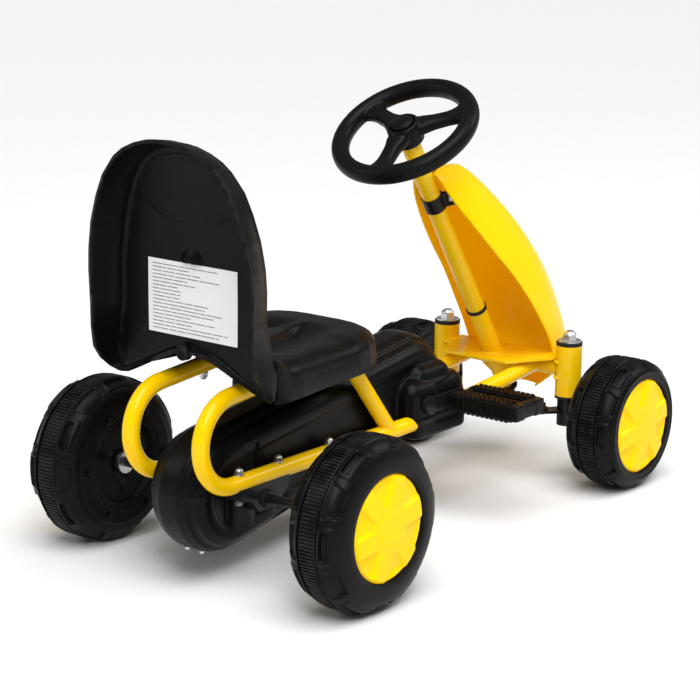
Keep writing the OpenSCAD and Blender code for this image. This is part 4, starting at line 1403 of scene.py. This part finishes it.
@dataclass
class Casing:
    """The black chain case: a stepped spine that belts both sprockets, and a wide bulge."""

    rear: tuple[float, float, float] = (337.0, 119.0, 80.0)
    front: tuple[float, float, float] = (-40.0, 181.0, 70.0)
    bulge_half: float = 72.0
    seam_at: tuple[float, float] = (417.0, 129.0)
    seam_tilt: float = 2.1
    screw_x: float = 12.0
    screw_y: tuple[float, ...] = (367.0, 185.0, 55.0)

    def belt(self, inset: float, sides: int = 150) -> Array:
        """Outline round both circles in (y, z), drawn smaller by inset.

        Args:
            inset: How far inside the outermost belt.
            sides: Points in the outline.

        Returns:
            The outline; point i of every inset lies on one line across the case.
        """
        a, b = np.array(self.rear[:2]), np.array(self.front[:2])
        run = b - a
        heading = math.atan2(run[1], run[0])
        lean = math.acos((self.rear[2] - self.front[2]) / float(np.linalg.norm(run)))
        around = 2 * math.pi - 2 * lean
        one = np.linspace(heading + lean, heading + lean + around, 40)
        two = np.linspace(heading - lean, heading + lean, 36)
        shift = np.stack([np.cos(one), np.sin(one)], axis=1) * max(self.rear[2] - inset, 2.0)
        other = np.stack([np.cos(two), np.sin(two)], axis=1) * max(self.front[2] - inset, 2.0)
        first, last = a + shift, b + other
        low = first[-1] + (last[0] - first[-1]) * np.linspace(0, 1, 39)[1:-1, None]
        high = last[-1] + (first[0] - last[-1]) * np.linspace(0, 1, 39)[1:-1, None]
        return np.vstack([first, low, last, high])

    def spine(self) -> Skin:
        """The belt-shaped band, as nested steps from the crest to the flat sides."""
        half = [(0, 0.0), (13, 0.0), (16.5, 0.6), (19, 2.6), (23.5, 3.0), (26, 4.6), (27.2, 9.4),
                (29.5, 10.6), (35.5, 11.2), (38.5, 12.4), (40.2, 16.5), (42.6, 18.8),
                (44.6, 22), (45.6, 27), (45.8, 33), (45.0, 37.5), (42.6, 39.5), (42.2, 48),
                (42.2, 60), (42.2, 68)]
        run = [(-x, inset) for x, inset in half[::-1]] + half[1:]
        rows = []
        for x, inset in run:
            flat = self.belt(inset)
            rows.append(np.column_stack([np.full(len(flat), x), flat]))
        grid = np.array(rows)
        skin = Skin()
        start = skin.grid(grid, wrap_cols=True)
        m = grid.shape[1]
        middle = (np.array(self.rear[:2]) + np.array(self.front[:2])) / 2
        skin.fan(start, m, (-42.2, *middle))
        skin.fan(start + (len(run) - 1) * m, m, (42.2, *middle))
        return skin

    def bulge(self) -> Skin:
        """The wide front part that holds the crank, with pads round the axle."""
        skin = Skin()
        skin.block((self.bulge_half, 64.0, 38.0), 22.0, (0, -58.0, 158.0), 10)
        skin.block((self.bulge_half - 1.5, 58.0, 32.0), 9.0, (0, -62.0, 144.5), 10)
        skin.block((self.bulge_half - 10, 40.0, 44.0), 20.0, (0, -60.0, 168.0), 8)
        for side in (-1, 1):
            skin.block((7.0, 26.0, 34.0), 5.0, (side * 40, 330, 100), 5)
            skin.block((6.0, 60.0, 7.0), 4.0, (side * 42, 190, 128), 5)
        return skin

    def build(self) -> None:
        """Fuses the moulding, presses its panels in and parts it along the seam."""
        made = self.spine().joined(self.bulge()).mesh("casing_moulding")
        fused(made, 2.1, 5)
        self.press(made)
        self.screws(made)
        self.cut(made)

    def screws(self, made: bpy.types.Object) -> None:
        """Seats the closing screws against the underside of the moulding."""
        skin = BVHTree.FromPolygons([v.co for v in made.data.vertices],
                                    [face.vertices for face in made.data.polygons])
        spots = []
        for x in (-self.screw_x, self.screw_x):
            for y in self.screw_y:
                hit = skin.ray_cast(Vector((x * MM, y * MM, 0.0)), Vector((0.0, 0.0, 1.0)))[0]
                spots.append((x, -y, -(hit.z / MM + 0.4)))
        tree = NutsOnPoints("casing_screws_tree", ZINC)
        heads = tree.run("casing_screw_heads", dots("casing_screws", spots), Nut=0.006,
                         Height=0.0016, Stud=0.003, Reach=0.0025, Washer=0.0072)
        heads.data.transform(Matrix.Rotation(math.pi, 4, "X"))
        Workshop.dress(heads, ZINC, "frame", "casing_screws")

    def press(self, made: bpy.types.Object) -> None:
        """Presses the crank panels and rear dimples into the moulding."""
        data = made.data
        co = np.empty(len(data.vertices) * 3, np.float32)
        data.vertices.foreach_get("co", co)
        p = co.reshape(-1, 3).astype(float) / MM
        side = np.sign(p[:, 0])
        x = np.abs(p[:, 0])
        crest = 186 - 0.12 * (p[:, 1] + 46)
        panel = patch(p[:, 1], -160, -46, 2.0) * ease(132, 135, p[:, 2]) * (x > 55)
        p[:, 0] -= side * 2.4 * panel * (1 - ease(-1.5, 1.5, p[:, 2] - crest))
        rear = patch(p[:, 1], 300, 322, 3) * patch(p[:, 2], 148, 176, 3) * (x > 38)
        p[:, 0] -= side * 2.2 * rear
        low = patch(p[:, 1], 200, 262, 5) * patch(p[:, 2], 70, 96, 4) * (x > 38)
        p[:, 0] -= side * 3.0 * low
        lip = self.seam_height(p[:, 1]) - p[:, 2]
        p[:, 0] += side * 0.9 * patch(lip, 0.5, 5.0, 1.2) * (x > 25)
        data.vertices.foreach_set("co", (p * MM).astype(np.float32).ravel())
        data.update()

    def seam_height(self, y: Any) -> Any:
        """Height of the parting line at y."""
        return self.seam_at[1] + (self.seam_at[0] - y) * math.tan(math.radians(self.seam_tilt))

    def cut(self, made: bpy.types.Object) -> None:
        """Parts the moulding into an upper and a lower half with a fine gap."""
        up = Vector((0, math.sin(math.radians(self.seam_tilt)),
                     math.cos(math.radians(self.seam_tilt))))
        for name, keep, node in (("casing_top", 1, "casing_upper"),
                                 ("casing_base", -1, "casing_lower")):
            half = bpy.data.objects.new(name, made.data.copy())
            bpy.context.scene.collection.objects.link(half)
            soup = bmesh.new()
            soup.from_mesh(half.data)
            at = Vector((0, self.seam_at[0], self.seam_at[1])) * MM + up * (0.28 * keep * MM)
            bmesh.ops.bisect_plane(soup, geom=soup.verts[:] + soup.edges[:] + soup.faces[:],
                                   plane_co=at, plane_no=up, clear_inner=keep > 0,
                                   clear_outer=keep < 0)
            rim = [e for e in soup.edges if e.is_boundary]
            bmesh.ops.holes_fill(soup, edges=rim, sides=0)
            soup.to_mesh(half.data)
            soup.free()
            Workshop.dress(half, BLACK_SHELL, "frame", node, crease=48)
        bpy.data.objects.remove(made)


@dataclass
class Pedal:
    """A pedal of two grooved tread blocks round a spindle tube."""

    side: Side
    crank_y: float = -25.0
    crank_z: float = 163.0
    arm: float = 65.0
    near: float = 81.4
    far: float = 195.4

    def build(self) -> None:
        """Builds the body, its teeth and the end cap of one pedal."""
        y0 = self.crank_y + (self.arm if self.side is Side.LEFT else -self.arm)
        middle, half = (self.near + self.far) / 2, (self.far - self.near) / 2
        s = self.side.value
        skin = Skin()
        for row in (-1, 1):
            skin.block((half - 1, 12.0, 11.6), 3.4, (s * middle, y0 + row * 22.6, self.crank_z), 8)
            for k in range(11):
                x = self.near + 8 + k * 9.6
                skin.block((0.9, 12.7, 10.8), 0.8, (s * x, y0 + row * 22.6, self.crank_z), 2)
        skin.block((8.5, 33.0, 11.0), 6.0, (s * (self.far - 10.0), y0, self.crank_z), 7)
        skin.block((5.5, 31.0, 10.0), 4.0, (s * (self.near + 6.0), y0, self.crank_z), 6)
        path = np.array([[s * (self.near + 0.5), y0, self.crank_z],
                         [s * (self.far - 9), y0, self.crank_z]])
        skin.tube(even(path, 8.0), 9.4, 28)
        made = skin.mesh(f"pedal_body_{self.side.word}")
        Workshop.dress(made, BLACK_SHELL, f"pedal_{self.side.word}",
                       f"pedal_{self.side.word}", crease=40)
        spots, long = [], []
        for row in (-1, 1):
            for up in (-1, 1):
                for k in range(5):
                    y = y0 + row * 22.6 - 9.0 + 4.5 * k
                    for j in range(12):
                        x = self.near + 12 + j * 7.7 + (1.9 if k % 2 else -1.9)
                        spots.append((s * x, y, self.crank_z + up * 12.0))
                        long.append(5.2 * MM)
        base = dots(f"pedal_teeth_{self.side.word}", spots, long)
        tree = BarsOnPoints("pedal_teeth_tree", BLACK_SHELL)
        teeth = tree.run(base.name, base, Size=(1.0, 0.0022, 0.0028))
        Workshop.dress(teeth, BLACK_SHELL, f"pedal_{self.side.word}")


# ---------------------------------------------------------------------------- steering


@dataclass
class Column:
    """Coordinates of the leaning steering column."""

    tilt: float = 33.0
    foot: tuple[float, float, float] = (0.0, -285.0, 176.0)

    def matrix(self) -> Matrix:
        """Places a drawing whose z axis is the column and whose origin is its foot."""
        return (Matrix.Translation(self.foot)
                @ Matrix.Rotation(-math.radians(self.tilt), 4, "X"))


@dataclass
class SteeringWheel:
    """A soft three-spoke wheel with flared spokes, a drum hub and a domed button."""

    column: Column
    ring: float = 92.0
    rim: float = 12.8
    hub_from: float = 398.0
    plane: float = 416.0

    def body(self) -> None:
        """Builds the rim, spokes and hub and melts them into one moulding."""
        skin = Skin()
        turn = np.linspace(0, 2 * math.pi, 120, endpoint=False)
        across = np.linspace(0, 2 * math.pi, 32, endpoint=False)
        flat = 1.0 - 0.05 * np.cos(2 * across)
        r = self.ring + self.rim * np.cos(across)[None, :] * flat[None, :]
        z = np.broadcast_to(self.plane + self.rim * np.sin(across), (120, 32))
        skin.grid(np.stack([r * np.cos(turn)[:, None], r * np.sin(turn)[:, None], z], axis=-1),
                  wrap_rows=True, wrap_cols=True)
        for k in range(3):
            a = math.radians(96 + 120 * k)
            out, over = np.array([math.cos(a), math.sin(a)]), np.array([-math.sin(a), math.cos(a)])
            along = np.linspace(8, self.ring - 1, 26)
            wide = 15.5 - 4.0 * patch(along, 42, 60, 20) + 9.0 * ease(64, 90, along) ** 2
            thick = 9.6 - 1.6 * ease(25, 60, along) + 2.0 * ease(72, 90, along)
            lift = 0.5 - 2.5 * ease(20, 70, along)
            ring = np.linspace(0, 2 * math.pi, 28, endpoint=False)
            c = np.sign(np.cos(ring)) * np.abs(np.cos(ring)) ** 0.7
            s = np.sign(np.sin(ring)) * np.abs(np.sin(ring)) ** 0.7
            xy = (along[:, None, None] * out + (wide[:, None] * c)[..., None] * over)
            zz = self.plane + lift[:, None] + thick[:, None] * s
            rows = np.concatenate([xy, zz[..., None]], axis=-1)
            start = skin.grid(rows, wrap_cols=True)
            skin.fan(start, 28, rows[0].mean(axis=0))
            skin.fan(start + 25 * 28, 28, rows[-1].mean(axis=0))
        hub = [(0, 0.1), (0, 20), (1, 22.2), (3, 23), (22, 23.6), (26, 23.6), (29.4, 22.6),
               (31.4, 20.5), (31.8, 18.6), (30.8, 17.5), (26.4, 17.3), (26, 16.5), (26, 0.1)]
        rows = turned(hub, 64)[..., [1, 2, 0]] + [0, 0, self.hub_from]
        skin.grid(rows, wrap_cols=True)
        made = skin.moved(self.column.matrix()).mesh("steering_wheel_moulding")
        fused(made, 1.35, 6)
        Workshop.dress(made, GRIP_PLASTIC, "steering", "steering_wheel")

    def button(self) -> None:
        """Builds the domed button in the hub."""
        dome = [(25, 0.1), (25, 15.6), (31.5, 15.8), (33.2, 15.2), (34.2, 13.6), (35.6, 9.5),
                (36.3, 5.0), (36.6, 0.1)]
        rows = turned(even(dome, 0.8), 72)[..., [1, 2, 0]] + [0, 0, self.hub_from]
        skin = Skin()
        skin.grid(rows, wrap_cols=True)
        made = skin.moved(self.column.matrix()).mesh("steering_button")
        Workshop.dress(made, GRIP_PLASTIC, "steering", "steering_wheel_button")

    def build(self) -> None:
        """Builds the wheel and its button."""
        self.body()
        self.button()


@dataclass
class Hood:
    """The yellow hood: a thin U-shaped shell that narrows towards the steering wheel."""

    column: Column
    wall: float = 2.8

    def levels(self) -> list[tuple[float, ...]]:
        """Rows of height, rear edge y, nose y, half width and squareness."""
        return [(116, -352, -372, 30, 2.0), (128, -347, -394, 46, 2.0),
                (142, -343, -406, 62, 2.1), (165, -333, -411, 73, 2.2),
                (190, -323, -411.0, 76, 2.3), (245, -287, -396, 72.5, 2.3),
                (300, -243, -369, 64.5, 2.3), (345, -199, -334, 56, 2.3),
                (385, -162, -295, 46.5, 2.2), (421, -131, -252, 35.5, 2.1),
                (445, -115, -219, 27, 2.0), (457, -109, -199, 21, 2.0),
                (463, -106, -187, 15.5, 2.0)]

    def build(self) -> None:
        """Builds the shell with a thickness, rounded edges and a raised crease."""
        rows = []
        heights = np.concatenate([np.linspace(116, 190, 22), np.linspace(193, 463, 68)])
        keys = through(self.levels(), heights)
        for z, (rear, nose, half, power) in zip(heights, keys):
            turn = np.linspace(0, math.pi, 61)
            c = np.sign(np.cos(turn)) * np.abs(np.cos(turn)) ** (2 / power)
            s = np.abs(np.sin(turn)) ** (2 / power)
            ridge = 1.6 * np.exp(-((turn - math.pi / 2) / 0.16) ** 2)
            y = rear - (rear - nose) * s - ridge * 0.5
            rows.append(np.column_stack([half * c, y, np.full(61, z)]))
        grid = np.array(rows)
        top = grid[-1]
        middle = np.array([0, (top[:, 1].min() + top[:, 1].max()) / 2, 0])
        for shrink, lift in ((0.86, 2.0), (0.62, 3.6), (0.3, 4.6), (0.02, 4.8)):
            ring = top.copy()
            ring[:, :2] = middle[:2] + (top[:, :2] - middle[:2]) * shrink
            ring[:, 2] += lift
            grid = np.concatenate([grid, ring[None]])
        skin = Skin()
        skin.grid(grid)
        made = skin.mesh("hood_shell")
        soup = bmesh.new()
        soup.from_mesh(made.data)
        soup.faces.ensure_lookup_table()
        outward = sum((f.normal.dot(Vector((f.calc_center_median().x, 0, 0))) for f in
                       soup.faces), 0.0)
        if outward < 0:
            bmesh.ops.reverse_faces(soup, faces=soup.faces)
        soup.to_mesh(made.data)
        soup.free()
        modified(made, "SOLIDIFY", thickness=self.wall * MM, offset=-1.0)
        modified(made, "BEVEL", width=0.9 * MM, segments=2, limit_method="ANGLE",
                 angle_limit=math.radians(55))
        Workshop.dress(made, YELLOW_PLASTIC, "frame", "fairing", crease=42)


@dataclass
class ColumnClamp:
    """The black strap that holds the hood to the column, with its silver screw."""

    column: Column
    height: float = 23.0
    at: float = 290.0
    inner: float = 14.2
    turn: float = 210.0

    def build(self) -> None:
        """Bends the strap from its own section and dresses the screw."""
        a = np.radians(np.linspace(14, 346, 60))
        loop = np.column_stack([self.inner * np.cos(a), self.inner * np.sin(a)])
        ear = [(16.5, 1.7), (19.0, 1.3), (29.5, 1.3)]
        middle = np.vstack([np.array(ear[::-1]), loop, np.array(ear) * [1, -1]])
        run = even(middle, 1.0)
        way = np.gradient(run, axis=0)
        way /= np.linalg.norm(way, axis=1, keepdims=True)
        side = np.column_stack([way[:, 1], -way[:, 0]])
        outline = np.vstack([run + side * 1.0, (run - side * 1.0)[::-1]])
        rows = []
        for z, shrink in ((-0.5, 0.55), (-0.46, 0.1), (0.46, 0.1), (0.5, 0.55)):
            rows.append(np.column_stack([outline, np.full(len(outline), z * self.height)]))
        skin = Skin()
        start = skin.grid(np.array(rows), wrap_cols=True)
        n, m = len(run), len(outline)
        for level in (0, 3):
            for i in range(n - 1):
                ring = start + level * m
                skin.faces.append((ring + i, ring + i + 1, ring + m - 2 - i, ring + m - 1 - i))
        matrix = (self.column.matrix() @ Matrix.Translation((0, 0, self.at))
                  @ Matrix.Rotation(math.radians(self.turn), 4, "Z"))
        made = skin.moved(matrix).mesh("column_strap")
        Workshop.dress(made, BLACK_COAT, "frame", "column_clamp")
        head = [(-3.4, 0.1), (-3.4, 2.6), (1.5, 2.6), (1.5, 4.6), (2.6, 4.6), (4.0, 3.4),
                (4.6, 1.8), (4.8, 0.1)]
        screw = Skin()
        screw.grid(turned(even(head, 0.3), 32)[..., [1, 0, 2]] * [1, -1, 1] + [24.5, 0, 0],
                   wrap_cols=True)
        made = screw.moved(matrix).mesh("strap_screw")
        Workshop.dress(made, ZINC, "frame", "clamp_screw")


# ---------------------------------------------------------------------------- frame


@dataclass
class FrontFrame:
    """Small things welded or bolted to the front of the frame."""

    column: Column
    king_x: float = 108.0
    king_y: float = -318.0

    def welds(self) -> None:
        """Lays weld beads where the tubes meet the plate and the kingpin tubes."""
        turn = np.linspace(0, 2 * math.pi, 49)
        matrix = np.array(self.column.matrix())
        local = np.column_stack([14.4 * np.cos(turn), 14.4 * np.sin(turn),
                                 np.tan(math.radians(self.column.tilt)) * 14.4 * np.sin(turn)
                                 + 2.6, np.ones(49)])
        runs = [(local @ matrix.T)[:, :3]]
        for side in (-1, 1):
            arc = np.radians(np.linspace(115, 245, 21))
            for z in (150.0, 173.0):
                runs.append(np.column_stack([
                    side * (self.king_x + 19.3 * np.cos(arc)),
                    self.king_y + 19.3 * np.sin(arc), np.full(21, z)]))
        made = WeldOnEdges("weld_beads", YELLOW_COAT).run("front_welds", seam("welds", runs))
        Workshop.dress(made, YELLOW_COAT, "frame")

    def paint(self) -> None:
        """Gives every carried-over piece of the frame its finish."""
        Workshop.repaint(YELLOW_COAT, "side_rail_left", "side_rail_right",
                         "front_crossmember", "gusset_plate", "kingpin_tube_left",
                         "kingpin_tube_right", "steering_head_tube", "steering_shaft")
        Workshop.repaint(BLACK_COAT, "axle_block_left", "axle_block_right", "pitman_arm",
                         "crankshaft", "knuckle_left", "knuckle_right", "tie_rod_left",
                         "tie_rod_right", "rear_axle")
        Workshop.repaint(BUSH_BLACK, "steering_bushes", "kingpin_bushes", "axle_bushes",
                         "crank_bushes")
        Workshop.repaint(ZINC, "rail_bolts", "fairing_screws",
                         "steering_wheel_bolt", "tie_rod_bolt", "kingpin_nut_left",
                         "kingpin_nut_right", "stub_nut_left", "stub_nut_right",
                         "rear_axle_nuts", "pedal_nuts")
        Workshop.repaint(CHAIN_STEEL, "chain", "rear_sprocket", "chainwheel")

    def build(self) -> None:
        """Adds the welds and paints the frame."""
        self.welds()
        self.paint()


# ---------------------------------------------------------------------------- studio


@dataclass
class Studio:
    """Pale floor, soft lights and the camera."""

    spot: tuple[float, float, float] = (-1.780304, 2.334056, 0.954700)
    azimuth: float = 3.80502811
    rise: float = 0.241456966
    roll: float = 0.0111841927
    lens: float = 114.70
    floor_reach: float = 40.0
    sky: float = 0.24

    def floor(self) -> None:
        """Lays the floor."""
        r = self.floor_reach
        data = bpy.data.meshes.new("studio_floor")
        data.from_pydata([(-r, -r, 0), (r, -r, 0), (r, r, 0), (-r, r, 0)], [], [(0, 1, 2, 3)])
        data.materials.append(FLOOR_PAPER.material())
        made = bpy.data.objects.new("studio_floor", data)
        bpy.context.scene.collection.objects.link(made)

    def light(self, name: str, at: Vector, size: float, power: float) -> None:
        """Hangs a square soft light that faces the kart.

        Args:
            name: The light's name.
            at: Its place.
            size: Its width in metres.
            power: Its power in watts.
        """
        lamp = bpy.data.lights.new(name, "AREA")
        lamp.shape, lamp.size, lamp.energy = "SQUARE", size, power
        made = bpy.data.objects.new(name, lamp)
        made.location = at
        made.rotation_mode = "QUATERNION"
        made.rotation_quaternion = (Vector((0, 0, 0.25)) - at).to_track_quat("-Z", "Y")
        bpy.context.scene.collection.objects.link(made)

    def world(self) -> None:
        """Fills the air with an even pale light."""
        world = bpy.data.worlds.new("studio_air")
        world.use_nodes = True
        world.node_tree.nodes.clear()
        nodes = Nodes(world.node_tree)
        air = nodes.add("ShaderNodeBackground", {}, {"Color": (1, 1, 1, 1),
                                                     "Strength": self.sky})
        nodes.raw("ShaderNodeOutputWorld", {}, {"Surface": air})
        bpy.context.scene.world = world

    def camera(self) -> None:
        """Stands the camera behind the kart's right side."""
        a, e = self.azimuth, self.rise
        back = Vector((math.sin(a) * math.cos(e), -math.cos(a) * math.cos(e), math.sin(e)))
        right = (-back).cross(Vector((0, 0, 1))).normalized()
        up = right.cross(-back)
        tilted = math.cos(self.roll) * right + math.sin(self.roll) * up
        top = -math.sin(self.roll) * right + math.cos(self.roll) * up
        lens = bpy.data.cameras.new("view")
        lens.lens, lens.sensor_width = self.lens, 36.0
        made = bpy.data.objects.new("view", lens)
        turn = Matrix((tilted, top, back)).transposed().to_4x4()
        made.matrix_world = Matrix.Translation(self.spot) @ turn
        bpy.context.scene.collection.objects.link(made)
        bpy.context.scene.camera = made

    def build(self) -> None:
        """Sets the whole studio up."""
        self.floor()
        self.world()
        self.light("key", Vector((-2.0, 2.4, 2.4)), 0.8, 30)
        self.light("fill", Vector((2.4, 2.4, 2.2)), 1.2, 16)
        self.light("front", Vector((-1.6, -2.4, 2.4)), 1.2, 22)
        sun = bpy.data.lights.new("skylight", "SUN")
        sun.energy, sun.angle = 2.9, math.radians(50)
        made = bpy.data.objects.new("skylight", sun)
        made.rotation_euler = (math.radians(-14), math.radians(-20), 0)
        bpy.context.scene.collection.objects.link(made)
        settings = bpy.context.scene.view_settings
        settings.view_transform, settings.look = "Standard", "None"
        self.camera()


def main() -> None:
    """Builds the kart's looks in order, then the studio."""
    logging.basicConfig(level=logging.INFO, format="%(message)s", stream=sys.stdout)
    column = Column()
    ribs = RingOfBars("tread_ribs", WHEEL_PLASTIC)
    wheels = [Wheel("rear", Side.LEFT, "rear_wheel_left"), Wheel("rear", Side.RIGHT, "rear_axle"),
              Wheel("front", Side.LEFT, "front_wheel_left"),
              Wheel("front", Side.RIGHT, "front_wheel_right")]
    for wheel in wheels:
        wheel.build(ribs)
    parts = [Seat(), Casing(), Pedal(Side.LEFT), Pedal(Side.RIGHT), SteeringWheel(column),
             Hood(column), ColumnClamp(column), FrontFrame(column)]
    for part in parts:
        part.build()
    Studio().build()


if __name__ == "__main__":
    main()
